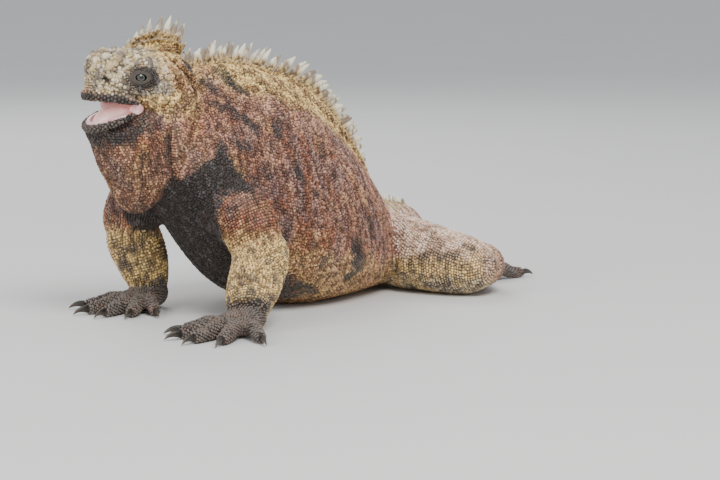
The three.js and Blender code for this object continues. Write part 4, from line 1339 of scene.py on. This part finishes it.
# %% [markdown]
# ## Crest
#
# A row of leaf-like horn spines runs from the back of the head to the tail: tallest on the nape and the back,
# low on the rump and tail. Each spine is a sphere stretched into a blade that swells above its root, tapers
# to a tip and curls back a little. Tips are pointed on the nape and blunt over the loins. Small cones stand
# beside the row. No two are alike, so each is drawn a little longer, thinner or more bent.


# %% Spines
CREST = [(1.2, 2.0), (5, 4.0), (10, 6.5), (13, 9), (15.2, 10), (16, 15), (16.8, 21), (18.6, 24), (20, 21.5)]
CREST = np.array(CREST + [(21.5, 18), (22.6, 14), (23.2, 11)])
NAPE = [(28.5, 9), (24, 15), (19, 20), (13.5, 24), (8, 27), (2.5, 29), (-3, 30), (-8.5, 27)]
CREST_LEAN = {"least": 0.34, "more": 0.4, "left": 0.22}
CREST_FRONT, CREST_BACK = 23.3, 1.2
WIDEST_BLADE = 2.9
ROOT_DEPTH = 1.2
CREST_GAP = {"least": 4.4, "per_length": 0.3}
SIDE_ROWS = ((3.4, 0.34), (6.4, 0.2))
SIDE_CONES_OVER = 7
HALF_RIDGE = 60
NAPE_ROWS = ((0.35, 1.0), (0.85, 0.7), (1.35, 0.55))


def spine(root, out, behind, length, width, thick, curl, sides=8, levels=10, blunt=2.4, pale=1.0):
    """One blade of the crest as a bmesh. The height of each point, times pale, is stored for the material."""
    bm = bmesh.new()
    rise = bm.verts.layers.float.new("rise")
    own = bm.verts.layers.float.new("tone")
    tone = luck.uniform(-1, 1)
    bmesh.ops.create_uvsphere(bm, u_segments=sides, v_segments=levels, radius=1)
    aside = out.cross(behind).normalized()
    for vertex in bm.verts:
        high = 0.6 * (vertex.co.z + 1) - 0.2
        narrowed = max(0.0, 1 - max(0.0, high) ** blunt) ** 0.66
        wide = narrowed * (0.86 + 0.3 * math.sin(math.pi * min(1, max(0, high))))
        ring = math.hypot(vertex.co.x, vertex.co.y)
        x, y = (vertex.co.x / ring, vertex.co.y / ring) if ring > 1e-4 else (0, 0)
        vertex[rise] = max(0.0, high) * pale
        vertex[own] = tone
        back_curve = behind * (x * width * wide + curl * length * max(0, high - 0.2) ** 2)
        vertex.co = root + out * high * length + back_curve + aside * y * thick * wide
    return bm


def crest_length(station):
    return float(np.interp(station, CREST[:, 0], CREST[:, 1]))


def crest_slope(station):
    """How far the ridge of the loins falls off, where the spines lean back and out the most."""
    return float(band(station, 14, 16.5, 17.5, 21))


blades = []
station = CREST_FRONT
while station > CREST_BACK:
    t = np.array([station / BODY_STATIONS])
    ideal = crest_length(station)
    length = ideal * luck.uniform(0.9, 1.16)
    out, forward = (Vector(v[0]) for v in body.directions(t, np.zeros(1)))
    left = out.cross(forward)
    slope = crest_slope(station)
    lean = CREST_LEAN["least"] + CREST_LEAN["more"] * slope + luck.normal(0, 0.05)
    upright = out - forward * lean + left * (CREST_LEAN["left"] * slope) + Vector(luck.normal(0, 0.04, 3))
    upright.normalize()
    behind = (upright * upright.dot(forward) - forward).normalized()
    width = min(WIDEST_BLADE, 1.1 + 0.125 * length) * luck.uniform(0.85, 1.12)
    root = Vector(crest_root(station)) - upright * ROOT_DEPTH * MM
    curl = 0.16 * luck.uniform(0.3, 1.5)
    blunt = 2.2 + 2.6 * slope
    blades.append(spine(root, upright, behind, length * MM, width * MM, width * 0.55 * MM, curl, blunt=blunt))
    short_of = body.at(t - 0.01 / BODY_STATIONS, np.zeros(1))
    spacing = np.linalg.norm(body.at(t, np.zeros(1)) - short_of) / 0.01 / MM
    step = max(CREST_GAP["least"], ideal * CREST_GAP["per_length"]) * luck.uniform(0.9, 1.1)
    if ideal > SIDE_CONES_OVER:
        for side in (-1, 1):
            for row, share in SIDE_ROWS:
                beside_t = t - luck.uniform(0.2, 0.8) * step / spacing / BODY_STATIONS
                turn = np.full(1, side * row * luck.uniform(0.8, 1.2) / HALF_RIDGE)
                beside_out = (Vector(body.directions(beside_t, turn)[0][0]) - forward * 0.5).normalized()
                lifted = crest_root(station) - body.at(t, np.zeros(1))[0]
                beside_root = Vector(body.at(beside_t, turn)[0] + lifted)
                beside_root -= beside_out * 0.8 * MM
                small = min(5.5, ideal * share + 0.8) * luck.uniform(0.7, 1.2)
                wide = (1.1 + small * 0.14) * MM
                cone = (beside_root, beside_out, behind, small * MM, wide, wide * 0.75, 0.15, 6, 6)
                blades.append(spine(*cone, pale=0.42))
    station -= step / spacing
for x, length in NAPE:
    t = np.array([t_at(head, x)])
    lean = 0.05 - 0.41 * (28.5 - x) / 37 + luck.normal(0, 0.03)
    out = (head_matrix.to_3x3() @ Vector((lean, luck.normal(0, 0.05), 1))).normalized()
    behind = (head_matrix.to_3x3() @ Vector((-1, luck.normal(0, 0.04), lean))).normalized()
    root = Vector(head.at(t, np.zeros(1))[0])
    length *= luck.uniform(0.95, 1.03)
    wide, thin = (2.4 + length * 0.055) * MM, (1.4 + length * 0.04) * MM
    blades.append(spine(root, out, behind, length * MM, wide, thin, 0.1, blunt=1.7, pale=0.72))
nape_x, nape_z = NAPE_RIDGE["place"][0], NAPE_RIDGE["place"][2]
long, thick, high = NAPE_RIDGE["radii"]
for along_ridge in np.linspace(-0.98, 0.98, 20):
    for side in (-1, 1):
        for turn, share in NAPE_ROWS:
            swell = math.sqrt(1 - along_ridge**2) + 0.15
            place_y = side * thick * swell * math.sin(turn)
            place = Vector((nape_x + long * along_ridge, place_y, nape_z + high * swell * math.cos(turn)))
            place.x += luck.normal(0, 0.8)
            tip = Vector((-0.3, side * (0.25 + 0.8 * turn), 1.1 - 0.3 * turn))
            tip += Vector(luck.normal(0, 0.12, 3))
            out = (head_matrix.to_3x3() @ tip).normalized()
            behind = (head_matrix.to_3x3() @ Vector((-1, 0, -0.3))).normalized()
            behind = (behind - out * behind.dot(out)).normalized()
            length = 5.2 * share * luck.uniform(0.7, 1.25)
            wide = 1.35 * share * MM
            root = head_matrix @ (place * MM)
            blades.append(spine(root, out, behind, length * MM, wide, wide * 0.8, 0.15, 6, 6, pale=0.5))
crest = object_from("crest", joined(blades))
print("crest", len(blades), "spines", len(crest.data.polygons), "faces")

# %% [markdown]
# ## Eyes, tongue, gums and claws
#
# The eye is a wet dark ball with a grey-green ring. Its material reads how far each point lies from the
# middle of the gaze. Lids are a ring of folds, spun round the gaze and squeezed to an almond; their crests
# are painted paler and their grooves darker, as painted highlight and painted shade. The tongue is a thick
# pad with a groove along its middle; tongue and gums are made to glow faintly pink, as painted light. Claws
# are hooks of dark horn.

# %% Eyes and lids
IRIS_ANGLE, PUPIL_ANGLE = 0.5, 0.21
CORNEA = {"bulge": 0.06, "width": 0.55}
GAZE = (0.24, 0.1)
LID_FOLDS = [(3.5, 0.2), (3.9, 1.0), (4.5, 1.3), (5.1, 0.7), (5.8, 1.25), (6.5, 0.55), (7.3, 1.0)]
LID_FOLDS += [(8.1, 0.2), (9.0, 0.45), (9.9, -0.8), (10.8, -2.8)]
eyes, lids = {}, {}
for name, side in (("left", 1), ("right", -1)):
    gaze = Vector((GAZE[0], side, GAZE[1])).normalized()
    middle = Vector((EYE[0], side * EYE[1], EYE[2])) * MM
    facing = gaze.to_track_quat("Z", "Y").to_matrix().to_4x4()
    bm = bmesh.new()
    layer = bm.verts.layers.float.new("gaze")
    bmesh.ops.create_uvsphere(bm, u_segments=48, v_segments=40, radius=EYE_RADIUS * MM)
    for vertex in bm.verts:
        off = vertex.co.normalized().angle(Vector((0, 0, 1)))
        vertex[layer] = off
        vertex.co *= 1 + CORNEA["bulge"] * math.exp(-((off / CORNEA["width"]) ** 2))
    bmesh.ops.transform(bm, matrix=head_matrix @ Matrix.Translation(middle) @ facing, verts=bm.verts)
    eyes[name] = object_from(f"eyeball_{name}", bm)

    bm = bmesh.new()
    layer = bm.verts.layers.float.new("rise")
    profile = []
    for radius, height in LID_FOLDS:
        vertex = bm.verts.new((radius * MM, 0, (EYE_RADIUS - 0.6 + height) * MM))
        vertex[layer] = max(0.0, height) / 1.5
        profile.append(vertex)
    edges = [bm.edges.new(pair) for pair in zip(profile, profile[1:])]
    bmesh.ops.subdivide_edges(bm, edges=edges, cuts=2, smooth=1.0)
    line = bm.verts[:] + bm.edges[:]
    full = {"axis": (0, 0, 1), "angle": 2 * math.pi, "steps": 56, "use_merge": True}
    bmesh.ops.spin(bm, geom=line, cent=(0, 0, 0), **full)
    bmesh.ops.remove_doubles(bm, verts=bm.verts, dist=1e-6)
    for vertex in bm.verts:
        x, y, z = vertex.co
        radius = math.hypot(x, y) / MM
        corner = abs(x) / (radius * MM + 1e-9)
        fall = (radius - 3.5) * 0.35 + max(0, radius - 6) * 0.25
        vertex.co = (x * (1.12 + 0.1 * corner), y * 0.8, z - fall * MM * 0.9)
    bmesh.ops.recalc_face_normals(bm, faces=bm.faces)
    bmesh.ops.transform(bm, matrix=head_matrix @ Matrix.Translation(middle) @ facing, verts=bm.verts)
    lids[name] = object_from(f"eyelids_{name}", bm)
    with_modifier(lids[name], "SOLIDIFY", thickness=0.8 * MM, offset=-1)
print("eyes and lids made")

# %% Tongue and gums
bm = loft(tongue, 40, 60)
for vertex in bm.verts:
    local = jaw_matrix.inverted() @ vertex.co
    groove = 1.3 * math.exp(-((local.y / (2.2 * MM)) ** 2)) * float(smoothstep(local.z, 0, 4 * MM))
    vertex.co.z -= groove * MM
tongue_piece = object_from("tongue_pad", bm)
upper_gum = lip_line(UPPER_LIP, 2.0, head_matrix, inset=3.4, sink=0.2, turns=(16, 164))
lower_gum = lip_line(LOWER_LIP, 2.6, jaw_matrix, inset=3.0, sink=-0.9, turns=(14, 166))
x, y, z = CORNER["place"]
radii, turn = CORNER["radii"], CORNER["turn"]
corners = [ball(head_matrix, (x, side * y, z), radii, turned=side * turn) for side in (1, -1)]
gums = object_from("gums", joined([loft(upper_gum, 14, 70), loft(lower_gum, 14, 70), *corners]))

# %% Claws
claw_pieces = {}
for name, (_, _, claws) in paws.items():
    made = []
    for form in claws:
        bm = loft(form, 14, 18)
        layer = bm.verts.layers.float.new("rise")
        start, end = (form.at(np.array([t]), np.zeros(1))[0] for t in (0.0, 1.0))
        direction = Vector(end - start)
        for vertex in bm.verts:
            share = (vertex.co - Vector(start)).dot(direction) / direction.length_squared
            vertex[layer] = max(0, min(1, share))
        made.append(bm)
    claw_pieces[name] = object_from(f"claws_{name}", joined(made))

# %% [markdown]
# ## Writing materials as sums
#
# A material is a network of nodes, but it reads best as arithmetic. A small class wraps the output of a node,
# so that 1 - mask or mask * 0.5 adds the Math node for it. Any other node comes from one method.


# %% Shader maths
class Value:
    """One output of a node. Arithmetic on it adds Math nodes."""

    def __init__(self, finish, socket):
        self.finish, self.socket = finish, socket

    def maths(self, operation, first, second):
        return self.finish.node("ShaderNodeMath", {"operation": operation}, {0: first, 1: second})

    def __add__(self, other):
        return self.maths("ADD", self, other)

    def __radd__(self, other):
        return self.maths("ADD", other, self)

    def __sub__(self, other):
        return self.maths("SUBTRACT", self, other)

    def __rsub__(self, other):
        return self.maths("SUBTRACT", other, self)

    def __mul__(self, other):
        return self.maths("MULTIPLY", self, other)

    def __rmul__(self, other):
        return self.maths("MULTIPLY", other, self)


class Finish:
    """A material with one Principled surface."""

    def __init__(self, name, **constants):
        self.material = bpy.data.materials.new(name)
        self.material.use_nodes = True
        self.tree = self.material.node_tree
        self.surface = self.tree.nodes["Principled BSDF"]
        for key, value in constants.items():
            self.surface.inputs[key.replace("_", " ")].default_value = value

    def node(self, kind, settings=None, inputs=None, out=0):
        """Adds a node: settings first, then the values or links of its inputs. Returns one of its outputs."""
        made = self.tree.nodes.new(kind)
        for key, value in (settings or {}).items():
            setattr(made, key, value)
        for key, value in (inputs or {}).items():
            if isinstance(value, Value):
                self.tree.links.new(value.socket, made.inputs[key])
            else:
                made.inputs[key].default_value = value
        return Value(self, made.outputs[out])

    def stored(self, name, part=None):
        """An attribute of the mesh: a number, or one part of a triple."""
        out = "Fac" if part is None else "Vector"
        whole = self.node("ShaderNodeAttribute", {"attribute_name": name}, out=out)
        return whole if part is None else self.node("ShaderNodeSeparateXYZ", inputs={0: whole}, out=part)

    def place(self, stretch=(1, 1, 1)):
        """Object coordinates, in metres times stretch."""
        raw = self.node("ShaderNodeTexCoord", out="Object")
        return self.node("ShaderNodeMapping", inputs={"Vector": raw, "Scale": stretch})

    def noise(self, scale, detail=2.0, stretch=(1, 1, 1), roughness=0.5):
        inputs = {"Vector": self.place(stretch), "Scale": scale, "Detail": detail, "Roughness": roughness}
        return self.node("ShaderNodeTexNoise", inputs=inputs)

    def step(self, value, low, high):
        """0 below low, 1 above high, smooth between."""
        ends = {"Value": value, "From Min": low, "From Max": high}
        return self.node("ShaderNodeMapRange", {"interpolation_type": "SMOOTHSTEP"}, ends)

    def mix(self, share, first, second, blend="MIX"):
        """Mixes two colours."""
        first, second = ((*v, 1) if isinstance(v, tuple) else v for v in (first, second))
        settings = {"data_type": "RGBA", "blend_type": blend}
        return self.node("ShaderNodeMix", settings, {0: share, 6: first, 7: second}, 2)

    def give(self, name, value):
        """Links a value to the surface."""
        self.tree.links.new(value.socket, self.surface.inputs[name])
        return self

    def bump(self, height, distance, strength=1.0):
        inputs = {"Height": height, "Distance": distance, "Strength": strength}
        return self.give("Normal", self.node("ShaderNodeBump", inputs=inputs))


def tint(red, green, blue):
    """A colour given as a screen shows it, from 0 to 255, as the light that it reflects."""
    parts = (red / 255, green / 255, blue / 255)
    return tuple(v / 12.92 if v < 11 / 255 else ((v + 0.055) / 1.055) ** 2.4 for v in parts)


# %% [markdown]
# ## The hide
#
# The ground colour is rust. Gold, cream and dark are laid over it where the shares say, with edges broken by
# noise, so that no border is drawn with a ruler. Blotches run down the flanks. Single scales are darker or
# paler than their neighbours. Light and shade are painted on the scales too: each scale is painted palest at
# its top, a painted highlight, and the skin between the scales is painted dark, as painted shade in the gaps.

# %% Hide
hide = Finish("hide", Roughness=0.62)
gold_share, dark_share, cream_share = (hide.stored("coat", k) for k in range(3))
blotch_share, speckle_share, mouth_share = (hide.stored("marks", k) for k in range(3))
flush_share = hide.stored("flush")
tone = hide.stored("tone")
rise = hide.stored("rise")
broad = hide.noise(22, 3)
middling = hide.noise(75, 3)
small = hide.noise(240, 2)
mottle = hide.noise(170, 3, stretch=(1.2, 1.2, 0.6), roughness=0.6)
streaks = hide.noise(60, 3, stretch=(1.3, 1.3, 0.4), roughness=0.6)
patches = hide.noise(48, 4, stretch=(1.3, 1.3, 0.55), roughness=0.62)
edge = (middling - 0.5) * 1.1 + (mottle - 0.5) * 0.9 + tone * 0.14
rust = hide.mix(hide.step(broad, 0.38, 0.62), tint(160, 98, 68), tint(170, 120, 98))
rust = hide.mix(hide.step(streaks + tone * 0.06, 0.47, 0.6) * 0.8, rust, tint(206, 158, 132))
rust = hide.mix(hide.step(patches + tone * 0.03, 0.52, 0.66) * 0.6, rust, tint(196, 158, 104))
rust = hide.mix(hide.step(0.5 - patches + tone * 0.03, 0.0, 0.1) * 0.65, rust, tint(122, 104, 104))
flush = hide.mix(hide.step(middling + tone * 0.1, 0.35, 0.65), tint(255, 226, 206), tint(222, 174, 150))
gold_spots = hide.step(mottle + middling * 0.5 + tone * 0.08, 0.71, 0.86)
gold = hide.mix(gold_spots, tint(252, 216, 144), tint(128, 92, 54))
tan = hide.mix(hide.step(middling, 0.42, 0.6), tint(190, 164, 112), tint(118, 106, 96))
cream = hide.mix(hide.step(small + middling * 0.6 + tone * 0.18, 0.62, 0.94), tint(242, 224, 192), tan)
charcoal = hide.mix(hide.step(mottle, 0.45, 0.66), tint(38, 37, 36), tint(88, 82, 80))
ash = hide.mix(mottle, tint(142, 130, 120), tint(76, 70, 66))
dark = hide.mix(hide.step(cream_share, 0.15, 0.55), charcoal, ash)
coat = hide.mix(hide.step(flush_share + edge * 0.9, 0.25, 0.85), rust, flush)
brown = blotch_share * 0.9 * hide.step(mottle + tone * 0.07, 0.48, 0.58)
coat = hide.mix(brown, coat, hide.mix(streaks, tint(72, 46, 38), tint(112, 70, 56)))
coat = hide.mix(hide.step(gold_share + edge, 0.25, 0.85), coat, gold)
coat = hide.mix(hide.step(cream_share + edge * 0.8, 0.3, 0.85), coat, cream)
blotches = hide.noise(36, 4, stretch=(1.25, 1.25, 0.6), roughness=0.62)
spread = hide.step(blotches + (blotch_share - 1) * 0.5 + (mottle - 0.5) * 0.3 + tone * 0.03, 0.54, 0.68)
coat = hide.mix(spread * 0.72, coat, tint(78, 62, 58))
coat = hide.mix(hide.step(dark_share + edge * 0.8, 0.3, 0.85) * 0.96, coat, dark)
coat = hide.mix(hide.step(speckle_share * 1.1 - tone, 0.75, 1.25) * 0.6, coat, tint(62, 48, 40))
coat = hide.mix(hide.step(tone - dark_share * 0.5, 0.7, 1.0) * 0.3, coat, tint(222, 192, 150))
# Painted relief: each scale is painted paler towards its top, a painted highlight, and darkest at its foot
# and on the bare skin, whose rise is 0, as painted shade between the scales; on the cream face the gaps are
# painted deeper. Tone and fine noise add each scale's own paleness.
tone_and_painted_relief = hide.step(rise, -0.2, 1.05) * (0.8 + cream_share * 0.12) + 0.36 - cream_share * 0.12
tone_and_painted_relief = tone_and_painted_relief + tone * 0.15 + (small - 0.5) * 0.5
tone_and_relief_grey = hide.node("ShaderNodeCombineXYZ", inputs={0: tone_and_painted_relief, 1: tone_and_painted_relief, 2: tone_and_painted_relief})
coat = hide.mix(1.0, coat, tone_and_relief_grey, "MULTIPLY")
flesh = hide.mix(hide.step(middling, 0.4, 0.6), tint(176, 84, 80), tint(112, 40, 42))
hide.give("Base Color", hide.mix(hide.step(mouth_share, 0.35, 0.65), coat, flesh))
hide.give("Roughness", 0.72 - mouth_share * 0.4 + (small - 0.5) * 0.2)
hide.bump(small + middling * 0.4, 0.4 * MM, 0.6)

# %% Crest
horn_pale = Finish("crest", Roughness=0.55)
rise = horn_pale.stored("rise")
tone = horn_pale.stored("tone")
streak = horn_pale.noise(150, 3, stretch=(1, 1, 0.3))
spots = horn_pale.noise(260, 2)
base = horn_pale.mix(horn_pale.step(spots, 0.45, 0.6), tint(212, 180, 118), tint(112, 88, 58))
tip = horn_pale.mix(horn_pale.step(streak + tone * 0.1, 0.44, 0.64), tint(250, 240, 212), tint(146, 126, 106))
height = horn_pale.step(rise + (streak - 0.5) * 0.5 + tone * 0.06, 0.24, 0.56)
horn_pale.give("Base Color", horn_pale.mix(height, base, tip))
horn_pale.bump(streak, 0.3 * MM, 0.5)

# %% Eyes, lids, tongue, gums and claws
wet_eye = Finish("eye", Roughness=0.25, Coat_Weight=0.6, Coat_Roughness=0.08)
off = wet_eye.stored("gaze")
grain = wet_eye.noise(900, 2)
ring = wet_eye.mix(grain, tint(84, 86, 72), tint(44, 46, 38))
ring = wet_eye.mix(wet_eye.step(off, IRIS_ANGLE - 0.1, IRIS_ANGLE), ring, tint(24, 22, 20))
ring = wet_eye.mix(wet_eye.step(off, IRIS_ANGLE + 0.1, IRIS_ANGLE + 0.3), ring, tint(70, 62, 54))
beyond_pupil = wet_eye.step(off, PUPIL_ANGLE - 0.03, PUPIL_ANGLE + 0.03)
wet_eye.give("Base Color", wet_eye.mix(beyond_pupil, tint(6, 6, 6), ring))

eyelid = Finish("eyelid", Roughness=0.7)
# Colour follows the height of the folds: crests painted paler and grooves darker, a painted highlight and
# painted shade on the folds.
rise, grain = eyelid.stored("rise"), eyelid.noise(500, 2)
eyelid.give("Base Color", eyelid.mix(rise * 0.9 + (grain - 0.5) * 0.7, tint(30, 27, 26), tint(104, 94, 84)))
eyelid.bump(grain, 0.3 * MM, 0.8)

# Emission makes the tongue glow faintly pink though no lamp lights it: painted light that brightens a mouth
# lying in shade.
mouth = Finish("mouth", Roughness=0.3, Coat_Weight=0.4, Coat_Roughness=0.2, Emission_Strength=0.34)
mouth.surface.inputs["Emission Color"].default_value = (*tint(255, 180, 172), 1)
soft, grain = mouth.noise(60, 2), mouth.noise(700, 2)
mouth.give("Base Color", mouth.mix(mouth.step(soft, 0.35, 0.65), tint(255, 226, 218), tint(255, 186, 182)))
mouth.give("Roughness", 0.24 + grain * 0.25)
mouth.bump(grain, 0.25 * MM, 0.5)

# The gums glow faintly pink too: painted light.
gum = Finish("gum", Roughness=0.3, Coat_Weight=0.4, Coat_Roughness=0.2, Emission_Strength=0.15)
gum.surface.inputs["Emission Color"].default_value = (*tint(255, 200, 196), 1)
soft = gum.noise(140, 2)
gum.give("Base Color", gum.mix(gum.step(soft, 0.4, 0.65), tint(252, 226, 222), tint(228, 156, 154)))
gum.give("Roughness", 0.25 + soft * 0.2)

claw_horn = Finish("claw_horn", Roughness=0.4)
rise, grain = claw_horn.stored("rise"), claw_horn.noise(260, 3, stretch=(1, 1, 2))
pale = rise * 0.5 + (grain - 0.5) * 0.6
claw_horn.give("Base Color", claw_horn.mix(pale, tint(34, 30, 28), tint(120, 106, 90)))
claw_horn.give("Roughness", 0.32 + grain * 0.25)
claw_horn.bump(grain, 0.2 * MM, 0.5)

# %% [markdown]
# ## Putting the pieces in the frame
#
# Every piece rides on the one body of the still model. The skin stands for all nodes of flesh; the finer
# eyes, tongue and claws stand for their own nodes.

# %% Pieces and what they stand for
FLESH = ["head", "lower_jaw", "throat", "neck", "chest", "abdomen", "pelvis"]
FLESH += ["tail_base", "tail_middle", "tail_end", "tail_tip", *limbs, *paws]
piece(skin, hide.material, "trunk_skin", *FLESH)
SLOTS = {"head": "face_skin", "hand": "dark_skin", "foot": "dark_skin"}
SLOTS |= {"upper": "limb_skin", "forearm": "limb_skin", "thigh": "limb_skin", "shank": "limb_skin"}
for name, obj in coats.items():
    piece(obj, hide.material, SLOTS.get(name.split("_")[1], "trunk_skin"))
piece(crest, horn_pale.material, "trunk_skin")
for name in ("left", "right"):
    piece(eyes[name], wet_eye.material, "eye", f"eye_{name}")
    piece(lids[name], eyelid.material, "face_skin")
piece(tongue_piece, mouth.material, "mouth_lining", "tongue")
piece(gums, gum.material, "mouth_lining")
for name, obj in claw_pieces.items():
    piece(obj, claw_horn.material, "horn", *(f"claw_{name}_{k + 1}" for k in range(5)))

# %% [markdown]
# ## Floor and light
#
# A plain pale floor and soft light from large lamps, as in a small studio: the main one high in front of the
# animal's left side, a weaker one ahead of it, and a pale sky that fills the shadows.

# %% Floor and lamps
FLOOR_HALF = 40
bm = bmesh.new()
bmesh.ops.create_grid(bm, x_segments=8, y_segments=8, size=FLOOR_HALF)
floor = object_from("floor", bm)
ground = Finish("ground", Roughness=0.9)
ground.give("Base Color", ground.mix(ground.noise(3, 2), tint(228, 226, 223), tint(222, 220, 217)))
floor.data.materials.append(ground.material)
floor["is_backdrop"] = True


LIT_PLACE = Vector((0, 0, 0.1))


def lamp(name, place, size, power):
    data = bpy.data.lights.new(name, "AREA")
    data.shape, data.size, data.energy = "DISK", size, power
    obj = new_object(name, data)
    aim = (Vector(place) - LIT_PLACE).to_track_quat("Z", "Y").to_matrix().to_4x4()
    obj.matrix_world = Matrix.Translation(place) @ aim


lamp("key_light", (0.9, 1.5, 2.1), 1.2, 54)
lamp("front_light", (2.2, -0.4, 1.2), 1.2, 16)
lamp("rim_light", (-1.2, -1.6, 1.8), 1.4, 22)
world = bpy.data.worlds.new("sky")
bpy.context.scene.world = world
world.use_nodes = True
world.node_tree.nodes["Background"].inputs["Color"].default_value = (0.86, 0.9, 0.95, 1)
world.node_tree.nodes["Background"].inputs["Strength"].default_value = 0.72

# %% Size of the dressed model
low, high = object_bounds()
